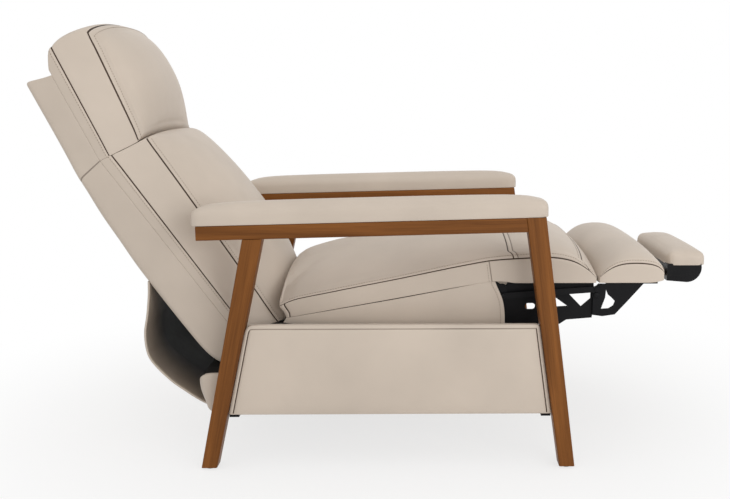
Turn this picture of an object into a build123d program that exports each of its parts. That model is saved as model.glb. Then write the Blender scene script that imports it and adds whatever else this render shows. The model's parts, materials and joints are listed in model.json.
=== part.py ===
"""Wooden-arm push-back recliner with a folding leg rest, one solid file per piece.

Frame: +X is the front of the chair, +Y its left, +Z up, floor at Z = 0. Sizes are in millimetres.
The pose is the one in the picture: back reclined, seat raised, leg rest and foot flap opened out.
"""
import os
from math import atan2, cos, degrees, hypot, radians, sin, tan

from build123d import *

os.makedirs("parts", exist_ok=True)

# Overall
CHAIR_WIDTH = 730.0  # over the outer faces of the legs
BODY_CLEARANCE = 7.0  # air between the arms and the seat or back

# Wooden side frames
LEG_THICKNESS = 40.0
LEG_FOOT_WIDTH = 36.0
LEG_HEAD_WIDTH = 45.0
FRONT_FOOT_X = 421.0
REAR_FOOT_X = -408.0
FRONT_LEG_LEAN = 8.1  # degrees, leaning back as it rises
REAR_LEG_LEAN = 12.3  # degrees, leaning forward as it rises
WOOD_ROUND = 4.0
GLIDE_HEIGHT = 4.0
GLIDE_DIAMETER = 26.0
ARM_HEIGHT = 578.0  # top of the wooden arm above X = 0
ARM_SLOPE = 1.4  # degrees, rising to the front
ARM_WIDTH = 82.0
ARM_RAIL_THICKNESS = 32.0
ARM_REAR_X = -415.0
ARM_PAD_HEIGHT = 48.0
ARM_PAD_EDGE_HEIGHT = 33.0
ARM_PAD_INSET = 1.5

# Upholstered side panels and cross rails
PANEL_TOP = 341.0
PANEL_BOTTOM = 128.0
PANEL_SETBACK = 12.0  # panel face behind the leg face
MECHANISM_SPACE = 24.0  # between the body and the panel on each side
TAB_LENGTH = 22.0
TAB_HEIGHT = 7.0
CROSS_RAIL_THICKNESS = 25.0
CROSS_RAIL_HEIGHT = 60.0
CROSS_RAIL_X = -100.0
REAR_RAIL_HEIGHT = 90.0
REAR_RAIL_DEPTH = 66.0
REAR_RAIL_BACK = -436.0

# Steel mechanism
STEEL = 4.0
LINK_STEEL = 3.0
LAYER_GAP = 4.0
SHAFT_DIAMETER = 20.0
PIN_DIAMETER = 9.0
RUN_GAP = 0.2  # radial air round a turning pin
LOOSE_GAP = 1.2  # radial air where a closed linkage is left open
OPEN_GAP = 0.5  # end air where the curl linkage is left open
RIVET_HEIGHT = 2.0
PIVOT_X = -243.0
PIVOT_Z = 310.0
CRANK_ARM = 60.0  # lower arm of the back bracket and of the lift lever
LEVER_X = 40.0
LEVER_Z = 270.0
BACK_TRAVEL = 21.0  # degrees from reclined to upright
SEAT_TRAVEL = 4.0  # degrees the seat drops at the same time
BOLT_DIAMETER = 8.0
BOLT_HEAD = 15.0
BOLT_HEAD_HEIGHT = 3.5
BOLT_DEPTH = 30.0
BOLT_SHARES = (0.17, 0.45, 0.72)  # places of the bolts between the shaft and the lift lever
PLATE_WIDTH = 46.0

# Seat
SEAT_REAR_X = -226.0
SEAT_FRONT_X = 270.0
SEAT_REAR_HEIGHT = 339.0  # underside of the cushion at its rear edge
SEAT_PITCH = 10.2  # degrees, rising to the front
SEAT_REAR_DEPTH = 38.0  # cushion border at the rear
SEAT_FRONT_DEPTH = 50.0
SEAT_CROWN = 42.0
SEAT_SIDE_THICKNESS = 3.0
SEAT_SIDE_BOTTOM = 300.0
TUBE_DIAMETER = 22.0
SPRING_WIRE = 5.0
SPRING_COUNT = 5
SPRING_REAR_X = -165.0
SPRING_FRONT_X = 160.0
SPRING_TURNS = 9
SPRING_SWING = 22.0

# Leg rest: calf section, leg pad and foot flap
REST_UNDERSIDE = 420.0
FOLD_X = 275.0  # hinge of the calf section on the seat
FOLD_DROP = 16.0  # hinge below the underside of the pads
CALF_LENGTH = 222.0  # from the seat hinge to the leg pad hinge
WEB_DEPTH = 87.0  # steel web under the calf section, below the seat hinge
CURL_ARM = 16.0  # short arms of the crossed curl linkage, and drop of the leg pad hinge
BOARD_THICKNESS = 10.0
BOARD_INSET = 26.0
CALF_EDGE_HEIGHT = 60.0
CALF_CROWN = 34.0
LEG_PAD_LENGTH = 156.0
PAD_GAP = 3.0  # between the leg pad hinge and the pads on either side
LEG_PAD_HEIGHT = 47.0
HOOK_DEPTH = 54.0  # hooked web under the leg pad, below its hinge
LEG_PAD_CROWN = 36.0
FLAP_WIDTH = 320.0
FLAP_LENGTH = 97.0
FLAP_RISE = 23.0  # underside of the foot flap above that of the leg pad
FLAP_HEIGHT = 28.0
FLAP_CROWN = 10.0
FLAP_START_REACH = 38.0  # foot flap in front of the leg pad
TRAY_HEIGHT = 46.0
FLAP_HINGE_REACH = 11.0  # hinge of the foot flap in front of the leg pad
FLAP_HINGE_DROP = 14.0
KNUCKLE_WIDTH = 20.0
KNUCKLE_Y = 110.0

# Back
BACK_LEAN = 36.0  # degrees from upright, below the bend
HEAD_LEAN = 26.5  # degrees from upright, above the bend
BACK_FOOT_REACH = 79.7  # foot of the shell seam behind the shaft
BACK_FOOT_DROP = 49.0  # foot of the shell seam below the shaft
LUMBAR_LENGTH = 527.0
SHELL_SKIRT = 23.0  # shell below the lumbar cushion
SHELL_HEAD = 214.0  # shell length above the bend
SHELL_DEPTH_LOW = 80.0
SHELL_DEPTH_KNEE = 72.0
SHELL_DEPTH_TOP = 61.0
SHELL_WALL = 14.0
CUSHION_DEPTH = 106.0  # border of the back cushions, front to rear
LUMBAR_CROWN = 58.0
PILLOW_LENGTH = 263.0
PILLOW_RISE = 30.0  # how far the pillow top stands above its front border at the middle
PILLOW_CROWN = 55.0
CREASE_GAP = 3.0
STILE_WIDTH = 25.0
STILE_DEPTH = 40.0
BRACKET_RUN = 130.0  # back bracket along the stile
STRAP_COUNT = 5
STRAP_WIDTH = 48.0
STRAP_THICKNESS = 2.0
CLOTH = 3.0
DRAPE_GAP = 0.4  # between the sewn edge of the rear flap and the shell
DRAPE_SAG = 81.0  # how far the rear flap hangs out behind
DRAPE_SAG_HIGH = 60.0
DRAPE_SAG_LOW = 50.0

half_width = CHAIR_WIDTH / 2
arm_inner = half_width - ARM_WIDTH
half_body = arm_inner - BODY_CLEARANCE
panel_inner = half_body + MECHANISM_SPACE
panel_outer = half_width - PANEL_SETBACK
leg_inner = half_width - LEG_THICKNESS

# Sideways layers of the mechanism, each named by its inner face
base_layer = panel_inner - STEEL
lever_layer = base_layer - LAYER_GAP - STEEL
rod_layer = lever_layer - LAYER_GAP - STEEL
link_layer = half_body - 8.0
seat_layer = link_layer - 2.0 - STEEL
bracket_layer = seat_layer - LAYER_GAP - STEEL

pin_radius = PIN_DIAMETER / 2
pivot = (PIVOT_X, PIVOT_Z)

# The back stands on the shaft, so its bend follows from the length of the lumbar cushion
shell_low = LUMBAR_LENGTH + SHELL_SKIRT
knee_x = PIVOT_X - BACK_FOOT_REACH - shell_low * sin(radians(BACK_LEAN))
knee_z = PIVOT_Z - BACK_FOOT_DROP + shell_low * cos(radians(BACK_LEAN))

fold = (FOLD_X, REST_UNDERSIDE - FOLD_DROP)
knee_hinge = (FOLD_X + CALF_LENGTH, fold[1] - CURL_ARM)
link_foot = (FOLD_X, fold[1] - CURL_ARM)
link_head = (knee_hinge[0], knee_hinge[1] + CURL_ARM)
pad_rear = knee_hinge[0] + PAD_GAP
pad_front = pad_rear + LEG_PAD_LENGTH
pad_middle = (pad_rear + pad_front) / 2
flap_hinge = (pad_front + FLAP_HINGE_REACH, REST_UNDERSIDE - FLAP_HINGE_DROP)
flap_start = pad_front + FLAP_START_REACH
flap_underside = REST_UNDERSIDE + FLAP_RISE
lever = (LEVER_X, LEVER_Z)
lever_foot = (LEVER_X, LEVER_Z - CRANK_ARM)
crank_foot = (PIVOT_X, PIVOT_Z - CRANK_ARM)

# The lift lever swings evenly about level, so its reach follows from the two travels
half_swing = radians(BACK_TRAVEL / 2)
lift_share = sin(radians(SEAT_TRAVEL)) / (2 * sin(half_swing))
lever_reach = (LEVER_X - PIVOT_X) * lift_share / (1 - lift_share * cos(half_swing))
lever_head = (LEVER_X + lever_reach * cos(half_swing), LEVER_Z + lever_reach * sin(half_swing))

# Legs taper towards the foot
leg_taper = (LEG_HEAD_WIDTH - LEG_FOOT_WIDTH) / 2 / (ARM_HEIGHT - GLIDE_HEIGHT)
arm_grade = tan(radians(ARM_SLOPE))
seat_grade = tan(radians(SEAT_PITCH))


def side_plane(y, origin=(0.0, 0.0), tilt=0.0):
    """Plane facing the right side, at the given Y, with its x axis raised by tilt degrees."""
    angle = radians(tilt)
    along = (cos(angle), 0, sin(angle))
    return Plane(origin=(origin[0], y, origin[1]), x_dir=along, z_dir=(0, -1, 0))


def leg_edge(foot_x, grade, side):
    """Edge of a leg as x = a + b z; side is 1 for the front edge and -1 for the rear edge."""
    b = grade + side * leg_taper
    a = foot_x + side * LEG_FOOT_WIDTH / 2 - b * GLIDE_HEIGHT
    return a, b


def edge_at(edge, z):
    return (edge[0] + edge[1] * z, z)


def edge_on_arm(edge, drop):
    """Point where a leg edge meets the line this far below the top of the wooden arm."""
    z = (ARM_HEIGHT - drop + arm_grade * edge[0]) / (1 - arm_grade * edge[1])
    return edge_at(edge, z)


def arm_point(x, drop):
    return (x, ARM_HEIGHT + arm_grade * x - drop)


def seat_line(x):
    """Height of the underside of the seat cushion."""
    return SEAT_REAR_HEIGHT + (x - SEAT_REAR_X) * seat_grade


def back_point(u, v):
    """Point of the lower back: u to the front of the shell seam, v up from the bend."""
    lean = radians(BACK_LEAN)
    return (knee_x + u * cos(lean) - v * sin(lean), knee_z + u * sin(lean) + v * cos(lean))


def head_point(u, v):
    """Point of the head part of the back: u to the front of the seam, v up from the bend."""
    lean = radians(HEAD_LEAN)
    return (knee_x + u * cos(lean) - v * sin(lean), knee_z + u * sin(lean) + v * cos(lean))


def bow(p, q, rise):
    """Middle point of an arc from p to q that bows to the right of the way by rise."""
    length = hypot(q[0] - p[0], q[1] - p[1])
    side = ((q[1] - p[1]) / length, (p[0] - q[0]) / length)
    return ((p[0] + q[0]) / 2 + side[0] * rise, (p[1] + q[1]) / 2 + side[1] * rise)


def bar(p, q, width):
    """Round-ended bar from p to q in the open sketch."""
    turn = degrees(atan2(q[1] - p[1], q[0] - p[0]))
    with Locations(((p[0] + q[0]) / 2, (p[1] + q[1]) / 2)):
        SlotCenterToCenter(hypot(q[0] - p[0], q[1] - p[1]), width, rotation=turn)


def keep(name, shape):
    shape.label = name
    export_step(shape, f"parts/{name}.step")


def keep_pair(name, builder):
    """Write the right-hand piece and its mirror image on the left."""
    keep("right_" + name, builder.part)
    with BuildPart() as other:
        mirror(builder.part, about=Plane.XZ)
    keep("left_" + name, other.part)


def cushion(sections):
    """Padded piece lofted through outlines; an outline is a list of (point, bow) going round."""
    with BuildPart() as padded:
        for y, outline in sections:
            with BuildSketch(side_plane(y)):
                with BuildLine():
                    for index, (start, rise) in enumerate(outline):
                        end = outline[(index + 1) % len(outline)][0]
                        if rise:
                            ThreePointArc(start, bow(start, end, rise), end)
                        else:
                            Line(start, end)
                make_face()
        loft()
    return padded


def three_sections(side, middle, half):
    return [(half, side), (0.0, middle), (-half, side)]


# Wooden legs
front_grade = -tan(radians(FRONT_LEG_LEAN))
rear_grade = tan(radians(REAR_LEG_LEAN))
front_leg_front = leg_edge(FRONT_FOOT_X, front_grade, 1)
front_leg_rear = leg_edge(FRONT_FOOT_X, front_grade, -1)
rear_leg_front = leg_edge(REAR_FOOT_X, rear_grade, 1)
rear_leg_rear = leg_edge(REAR_FOOT_X, rear_grade, -1)
front_leg_outline = [
    edge_at(front_leg_rear, GLIDE_HEIGHT),
    edge_at(front_leg_front, GLIDE_HEIGHT),
    edge_on_arm(front_leg_front, 0.0),
    edge_on_arm(front_leg_rear, 0.0),
]
rear_leg_outline = [
    edge_at(rear_leg_rear, GLIDE_HEIGHT),
    edge_at(rear_leg_front, GLIDE_HEIGHT),
    edge_on_arm(rear_leg_front, ARM_RAIL_THICKNESS),
    edge_on_arm(rear_leg_rear, ARM_RAIL_THICKNESS),
]

with BuildPart() as front_leg:
    with BuildSketch(side_plane(-leg_inner)):
        Polygon(*front_leg_outline, align=None)
    extrude(amount=LEG_THICKNESS)
    fillet(front_leg.edges().sort_by(SortBy.LENGTH)[-4:], radius=WOOD_ROUND)
keep_pair("front_leg", front_leg)

with BuildPart() as rear_leg:
    with BuildSketch(side_plane(-leg_inner)):
        Polygon(*rear_leg_outline, align=None)
    extrude(amount=LEG_THICKNESS)
    fillet(rear_leg.edges().sort_by(SortBy.LENGTH)[-4:], radius=WOOD_ROUND)
keep_pair("rear_leg", rear_leg)

# Wooden arms, let round the head of the front leg
with BuildPart() as arm_rail:
    with BuildSketch(side_plane(-arm_inner)):
        Polygon(
            arm_point(ARM_REAR_X, ARM_RAIL_THICKNESS),
            edge_on_arm(front_leg_front, ARM_RAIL_THICKNESS),
            edge_on_arm(front_leg_front, 0.0),
            arm_point(ARM_REAR_X, 0.0),
            align=None,
        )
    extrude(amount=ARM_WIDTH)
    fillet(arm_rail.edges().sort_by(SortBy.LENGTH)[-4:], radius=WOOD_ROUND)
    with BuildSketch(side_plane(-leg_inner)):
        Polygon(*front_leg_outline, align=None)
    extrude(amount=LEG_THICKNESS, mode=Mode.SUBTRACT)
keep_pair("arm_rail", arm_rail)

# Padded arm tops
arm_front_x = edge_on_arm(front_leg_front, 0.0)[0]


def arm_pad_outline(height, draw):
    rear = ARM_REAR_X - 8.0 + draw
    front = arm_front_x + 2.0 - draw
    return [
        (arm_point(rear, 0.0), 0.0),
        (arm_point(front, 0.0), 7.0),
        (arm_point(front - 4.0, -height), 4.0),
        (arm_point(rear + 6.0, -height), 9.0),
    ]


pad_inner = arm_inner + ARM_PAD_INSET
pad_outer = half_width - ARM_PAD_INSET
arm_pad = cushion([
    (-pad_inner, arm_pad_outline(ARM_PAD_EDGE_HEIGHT, 4.0)),
    (-(pad_inner + pad_outer) / 2, arm_pad_outline(ARM_PAD_HEIGHT, 0.0)),
    (-pad_outer, arm_pad_outline(ARM_PAD_EDGE_HEIGHT, 4.0)),
])
keep_pair("arm_pad", arm_pad)

# Floor glides under the four legs
with BuildPart() as floor_glides:
    for foot_x in (FRONT_FOOT_X, REAR_FOOT_X):
        for side in (1, -1):
            with BuildSketch(Plane.XY):
                with Locations((foot_x, side * (half_width - LEG_THICKNESS / 2))):
                    Circle(GLIDE_DIAMETER / 2)
            extrude(amount=GLIDE_HEIGHT)
keep("floor_glides", floor_glides.part)

# Upholstered side panels between the legs, with the holes for the mechanism bolts
bolt_spots = [(PIVOT_X + t * (LEVER_X - PIVOT_X), PIVOT_Z + t * (LEVER_Z - PIVOT_Z)) for t in BOLT_SHARES]
panel_corners = [
    edge_at(rear_leg_front, PANEL_BOTTOM),
    edge_at(front_leg_rear, PANEL_BOTTOM),
    edge_at(front_leg_rear, PANEL_TOP),
    edge_at(rear_leg_front, PANEL_TOP),
]
with BuildPart() as side_panel:
    with BuildSketch(side_plane(-panel_inner)):
        Polygon(*panel_corners, align=None)
    extrude(amount=panel_outer - panel_inner)
    fillet(side_panel.faces().sort_by(Axis.Z)[-1].edges().sort_by(SortBy.LENGTH)[-2:], radius=8)
    with BuildSketch(side_plane(-panel_inner)):
        with Locations(*bolt_spots):
            Circle(BOLT_DIAMETER / 2 + RUN_GAP)
    extrude(amount=BOLT_DEPTH, mode=Mode.SUBTRACT)
keep_pair("side_panel", side_panel)

with BuildPart() as panel_tabs:
    for side in (1, -1):
        for corner, turn in ((panel_corners[0], 1), (panel_corners[1], -1)):
            middle_x = corner[0] + turn * (TAB_LENGTH / 2 + 2)
            with Locations((middle_x, side * (panel_outer - 14), PANEL_BOTTOM - TAB_HEIGHT / 2)):
                Box(TAB_LENGTH, 16, TAB_HEIGHT)
keep("panel_tabs", panel_tabs.part)

# Rails across the base
with BuildPart() as front_cross_rail:
    with BuildSketch(side_plane(0.0)):
        with Locations((CROSS_RAIL_X, PANEL_BOTTOM + 2 + CROSS_RAIL_HEIGHT / 2)):
            Rectangle(CROSS_RAIL_THICKNESS, CROSS_RAIL_HEIGHT)
    extrude(amount=panel_inner, both=True)
keep("front_cross_rail", front_cross_rail.part)

rear_rail_front = REAR_RAIL_BACK + REAR_RAIL_DEPTH
with BuildPart() as rear_rail:
    with BuildSketch(side_plane(0.0)):
        Polygon(
            (REAR_RAIL_BACK + 18, PANEL_BOTTOM - 8),
            (rear_rail_front, PANEL_BOTTOM),
            (rear_rail_front, PANEL_BOTTOM + REAR_RAIL_HEIGHT),
            (rear_rail_front - 24, PANEL_BOTTOM + REAR_RAIL_HEIGHT),
            (REAR_RAIL_BACK, PANEL_BOTTOM + REAR_RAIL_HEIGHT - 26),
            align=None,
        )
    extrude(amount=leg_inner, both=True)
keep("rear_rail", rear_rail.part)

# Steel base plates on the panels, with the stub that carries the lift lever
with BuildPart() as base_plate:
    with BuildSketch(side_plane(-base_layer)):
        bar(pivot, lever, PLATE_WIDTH)
        with Locations(pivot):
            Circle(SHAFT_DIAMETER / 2 + RUN_GAP, mode=Mode.SUBTRACT)
        with Locations(*bolt_spots):
            Circle(BOLT_DIAMETER / 2 + RUN_GAP, mode=Mode.SUBTRACT)
    extrude(amount=STEEL)
    with BuildSketch(side_plane(-(lever_layer - 1.5))):
        with Locations(lever):
            Circle(pin_radius)
    extrude(amount=base_layer - lever_layer + 1.5)
keep_pair("base_plate", base_plate)

with BuildPart() as mechanism_bolts:
    for side in (1, -1):
        with BuildSketch(side_plane(-side * base_layer)):
            with Locations(*bolt_spots):
                Circle(BOLT_DIAMETER / 2)
        extrude(amount=side * (STEEL + BOLT_DEPTH - 2))
        with BuildSketch(side_plane(-side * base_layer)):
            with Locations(*bolt_spots):
                RegularPolygon(BOLT_HEAD / 2, 6)
        extrude(amount=-side * BOLT_HEAD_HEIGHT)
keep("mechanism_bolts", mechanism_bolts.part)

with BuildPart() as pivot_shaft:
    with BuildSketch(side_plane(0.0)):
        with Locations(pivot):
            Circle(SHAFT_DIAMETER / 2)
    extrude(amount=panel_inner, both=True)
keep("pivot_shaft", pivot_shaft.part)

# Lift levers: front pin in the slot of the seat plate, lower pin in the push rod
with BuildPart() as lift_lever:
    with BuildSketch(side_plane(-lever_layer)):
        bar(lever, lever_head, 26)
        bar(lever, lever_foot, 24)
        with Locations(lever):
            Circle(pin_radius + RUN_GAP, mode=Mode.SUBTRACT)
    extrude(amount=STEEL)
    with BuildSketch(side_plane(-(seat_layer - 1.5))):
        with Locations(lever_head):
            Circle(pin_radius)
    extrude(amount=lever_layer - seat_layer + 1.5)
    with BuildSketch(side_plane(-(rod_layer - 1.5))):
        with Locations(lever_foot):
            Circle(pin_radius)
    extrude(amount=lever_layer - rod_layer + 1.5)
keep_pair("lift_lever", lift_lever)

with BuildPart() as push_rod:
    with BuildSketch(side_plane(-rod_layer)):
        bar(crank_foot, lever_foot, 20)
        with Locations(crank_foot):
            Circle(pin_radius + RUN_GAP, mode=Mode.SUBTRACT)
        with Locations(lever_foot):
            Circle(pin_radius + LOOSE_GAP, mode=Mode.SUBTRACT)
    extrude(amount=STEEL)
keep_pair("push_rod", push_rod)

# Seat cushion, crowned across and along
seat_front_low = (SEAT_FRONT_X, seat_line(SEAT_FRONT_X))
seat_rear_low = (SEAT_REAR_X, seat_line(SEAT_REAR_X))


def seat_outline(crown):
    return [
        (seat_rear_low, 0.0),
        (seat_front_low, 0.0),
        ((SEAT_FRONT_X, seat_front_low[1] + SEAT_FRONT_DEPTH + 0.75 * crown), 5.0 + 0.35 * crown),
        ((SEAT_REAR_X + 4, seat_rear_low[1] + SEAT_REAR_DEPTH + 0.55 * crown), 7.0),
    ]


seat_cushion = cushion(three_sections(seat_outline(0.0), seat_outline(SEAT_CROWN), half_body))
keep("seat_cushion", seat_cushion.part)

with BuildPart() as seat_side:
    with BuildSketch(side_plane(-(half_body - SEAT_SIDE_THICKNESS))):
        with BuildLine():
            Polyline(
                (FOLD_X + 5, SEAT_SIDE_BOTTOM),
                (SEAT_REAR_X + 5, SEAT_SIDE_BOTTOM),
                (SEAT_REAR_X + 5, seat_line(SEAT_REAR_X + 5)),
                (SEAT_FRONT_X - 8, seat_line(SEAT_FRONT_X - 8)),
            )
            ThreePointArc(
                (SEAT_FRONT_X - 8, seat_line(SEAT_FRONT_X - 8)),
                (FOLD_X + 2, (seat_line(SEAT_FRONT_X) + SEAT_SIDE_BOTTOM) / 2 + 14),
                (FOLD_X + 5, SEAT_SIDE_BOTTOM),
            )
        make_face()
    extrude(amount=SEAT_SIDE_THICKNESS)
keep_pair("seat_side", seat_side)

# Seat side plates of steel: shaft bush, lift slot, calf hinge stub and curl link stub
with BuildPart() as seat_plate:
    with BuildSketch(side_plane(-seat_layer)):
        Polygon(
            (PIVOT_X + 4, PIVOT_Z - 18),
            (PIVOT_X + 20, PIVOT_Z - 16),
            (lever_head[0] - 34, lever_head[1] - 14),
            (lever_head[0] + 34, lever_head[1] - 14),
            (lever_head[0] + 60, seat_line(lever_head[0]) - 60),
            (link_foot[0] - 8, link_foot[1] - 9),
            (fold[0], fold[1] + 9),
            (fold[0] - 20, seat_line(fold[0] - 20)),
            (SEAT_REAR_X + 10, seat_line(SEAT_REAR_X + 10)),
            (PIVOT_X, PIVOT_Z + 19),
            align=None,
        )
        with Locations(pivot):
            Circle(SHAFT_DIAMETER / 2 + 9)
        bar(fold, link_foot, 20)
        with Locations(pivot):
            Circle(SHAFT_DIAMETER / 2 + RUN_GAP, mode=Mode.SUBTRACT)
        with Locations((lever_head[0] - 1, lever_head[1])):
            SlotCenterToCenter(18, PIN_DIAMETER + 2 * LOOSE_GAP, rotation=-4, mode=Mode.SUBTRACT)
    extrude(amount=STEEL)
    with BuildSketch(side_plane(-(bracket_layer - 1.5))):
        with Locations(fold):
            Circle(pin_radius)
    extrude(amount=seat_layer - bracket_layer + 1.5)
    with BuildSketch(side_plane(-(seat_layer + STEEL))):
        with Locations(link_foot):
            Circle(pin_radius)
    extrude(amount=link_layer + LINK_STEEL + 0.8 - seat_layer - STEEL)
keep_pair("seat_plate", seat_plate)


def cross_tube(x):
    """Tube between the seat plates, one spring wire below the cushion."""
    below = (TUBE_DIAMETER / 2 + SPRING_WIRE) / cos(radians(SEAT_PITCH))
    with BuildPart() as tube:
        with BuildSketch(side_plane(0.0)):
            with Locations((x, seat_line(x) - below)):
                Circle(TUBE_DIAMETER / 2)
                Circle(TUBE_DIAMETER / 2 - 2.5, mode=Mode.SUBTRACT)
        extrude(amount=seat_layer, both=True)
    return tube


keep("seat_rear_tube", cross_tube(SPRING_REAR_X).part)
keep("seat_front_tube", cross_tube(SPRING_FRONT_X).part)

# Zigzag seat springs lying on the two tubes
spring_plane = Plane(
    origin=(SPRING_REAR_X, 0, seat_line(SPRING_REAR_X) - SPRING_WIRE / 2 / cos(radians(SEAT_PITCH))),
    x_dir=(cos(radians(SEAT_PITCH)), 0, sin(radians(SEAT_PITCH))),
    z_dir=(-sin(radians(SEAT_PITCH)), 0, cos(radians(SEAT_PITCH))),
)
spring_run = (SPRING_FRONT_X - SPRING_REAR_X) / cos(radians(SEAT_PITCH))
spring_step = spring_run / SPRING_TURNS
spring_spread = (seat_layer - 30.0) * 2 / SPRING_COUNT
with BuildPart() as seat_springs:
    for row in range(SPRING_COUNT):
        row_y = (row - (SPRING_COUNT - 1) / 2) * spring_spread
        zigzag = [(0.0, row_y - SPRING_SWING)]
        for turn in range(SPRING_TURNS):
            swing = SPRING_SWING if turn % 2 == 0 else -SPRING_SWING
            zigzag.append((turn * spring_step, row_y + swing))
            zigzag.append(((turn + 1) * spring_step, row_y + swing))
        with BuildLine(spring_plane) as wire_path:
            Polyline(*zigzag)
        with BuildSketch(Plane(wire_path.line @ 0, z_dir=wire_path.line % 0)):
            Circle(SPRING_WIRE / 2 - 0.2)
        sweep(path=wire_path.line, transition=Transition.ROUND)
keep("seat_springs", seat_springs.part)

# Calf section: the waterfall front of the seat, folding down on the seat plates
calf_rear = FOLD_X + 8.0
calf_tip = knee_hinge[0] - PAD_GAP
board_half = half_body - BOARD_INSET


def calf_outline(crown):
    top = REST_UNDERSIDE + CALF_EDGE_HEIGHT + crown
    shoulder = (calf_tip - 52.0 + 0.35 * crown, top - 9.0 - 0.2 * crown)
    return [
        ((calf_rear, REST_UNDERSIDE), 0.0),
        ((calf_tip, REST_UNDERSIDE), 9.0 + 0.2 * crown),
        (shoulder, 5.0 + 0.1 * crown),
        ((calf_rear, top - 3.0), 0.0),
    ]


calf_cushion = cushion(three_sections(calf_outline(0.0), calf_outline(CALF_CROWN), half_body))
with BuildPart() as calf_pad:
    add(calf_cushion.part)
    with Locations(((calf_rear + calf_tip) / 2 - 5, 0, REST_UNDERSIDE + BOARD_THICKNESS / 2)):
        Box(calf_tip - calf_rear - 30, 2 * board_half, BOARD_THICKNESS, mode=Mode.SUBTRACT)
keep("calf_cushion", calf_pad.part)

with BuildPart() as calf_board:
    with Locations(((calf_rear + calf_tip) / 2 - 5, 0, REST_UNDERSIDE + BOARD_THICKNESS / 2)):
        Box(calf_tip - calf_rear - 30, 2 * board_half, BOARD_THICKNESS)
keep("calf_board", calf_board.part)

# Calf brackets: a flange under the board and a deep pressed web with an open triangle
flange_inner = board_half - 14.0
flange_bottom = REST_UNDERSIDE - STEEL
with BuildPart() as calf_bracket:
    with BuildSketch(side_plane(-bracket_layer)):
        Polygon(
            (fold[0] - 6, fold[1] - 8),
            (fold[0] - 2, fold[1] - WEB_DEPTH),
            (fold[0] + 0.62 * CALF_LENGTH, fold[1] - WEB_DEPTH),
            (fold[0] + 0.69 * CALF_LENGTH, fold[1] - 0.88 * WEB_DEPTH),
            (knee_hinge[0] - 8, knee_hinge[1] - 0.64 * WEB_DEPTH),
            (knee_hinge[0] - 2, knee_hinge[1] - 10),
            (knee_hinge[0] - 6, flange_bottom),
            (fold[0] + 12, flange_bottom),
            align=None,
        )
        with Locations(fold):
            Circle(11)
        with Locations(knee_hinge):
            Circle(11)
        with Locations(fold):
            Circle(pin_radius + RUN_GAP, mode=Mode.SUBTRACT)
        Polygon(
            (knee_hinge[0] - 0.325 * CALF_LENGTH, flange_bottom - 17),
            (knee_hinge[0] - 0.155 * CALF_LENGTH, knee_hinge[1] - 0.325 * WEB_DEPTH),
            (knee_hinge[0] - 12.5, knee_hinge[1] - 9),
            (knee_hinge[0] - 12.5, flange_bottom - 11),
            align=None,
            mode=Mode.SUBTRACT,
        )
        Polygon(
            (fold[0] + 0.56 * CALF_LENGTH, fold[1] - 0.24 * WEB_DEPTH),
            (fold[0] + 0.56 * CALF_LENGTH, fold[1] - 0.52 * WEB_DEPTH),
            (fold[0] + 0.7 * CALF_LENGTH, fold[1] - 0.5 * WEB_DEPTH),
            align=None,
            mode=Mode.SUBTRACT,
        )
        with Locations((fold[0] + 0.3 * CALF_LENGTH, fold[1] - WEB_DEPTH / 2)):
            SlotOverall(24, 15, mode=Mode.SUBTRACT)
    extrude(amount=STEEL)
    with BuildSketch(Plane.XY.offset(flange_bottom)):
        with Locations(((fold[0] + knee_hinge[0]) / 2, -(flange_inner + bracket_layer + STEEL) / 2)):
            Rectangle(CALF_LENGTH - 24, bracket_layer + STEEL - flange_inner)
    extrude(amount=STEEL)
    with BuildSketch(side_plane(-(bracket_layer + STEEL))):
        with Locations(knee_hinge):
            Circle(pin_radius)
    extrude(amount=LAYER_GAP + LINK_STEEL + 0.8)
keep_pair("calf_bracket", calf_bracket)

# Curl links: they cross the calf brackets and curl the leg pad under as the calf section folds
with BuildPart() as curl_link:
    with BuildSketch(side_plane(-link_layer)):
        bar(link_foot, link_head, 14)
        with Locations(link_foot):
            Circle(pin_radius + RUN_GAP, mode=Mode.SUBTRACT)
    extrude(amount=LINK_STEEL)
    with BuildSketch(side_plane(-(link_layer + LINK_STEEL))):
        with Locations(link_head):
            Circle(pin_radius + 1.5)
    extrude(amount=RIVET_HEIGHT)
keep_pair("curl_link", curl_link)

# Leg pad
def leg_pad_outline(crown):
    shoulder = REST_UNDERSIDE + LEG_PAD_HEIGHT - 8.0 + 0.65 * crown
    return [
        ((pad_rear, REST_UNDERSIDE), 0.0),
        ((pad_front - 4, REST_UNDERSIDE), 5.0 + 0.05 * crown),
        ((pad_front - 10, shoulder), 9.0 + 0.4 * crown),
        ((pad_rear + 24, shoulder - 3.0), 6.0 + 0.1 * crown),
    ]


leg_form = cushion(three_sections(leg_pad_outline(0.0), leg_pad_outline(LEG_PAD_CROWN), half_body))
with BuildPart() as leg_pad:
    add(leg_form.part)
    with Locations((pad_middle, 0, REST_UNDERSIDE + BOARD_THICKNESS / 2)):
        Box(LEG_PAD_LENGTH - 36, 2 * board_half, BOARD_THICKNESS, mode=Mode.SUBTRACT)
keep("leg_cushion", leg_pad.part)

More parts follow.
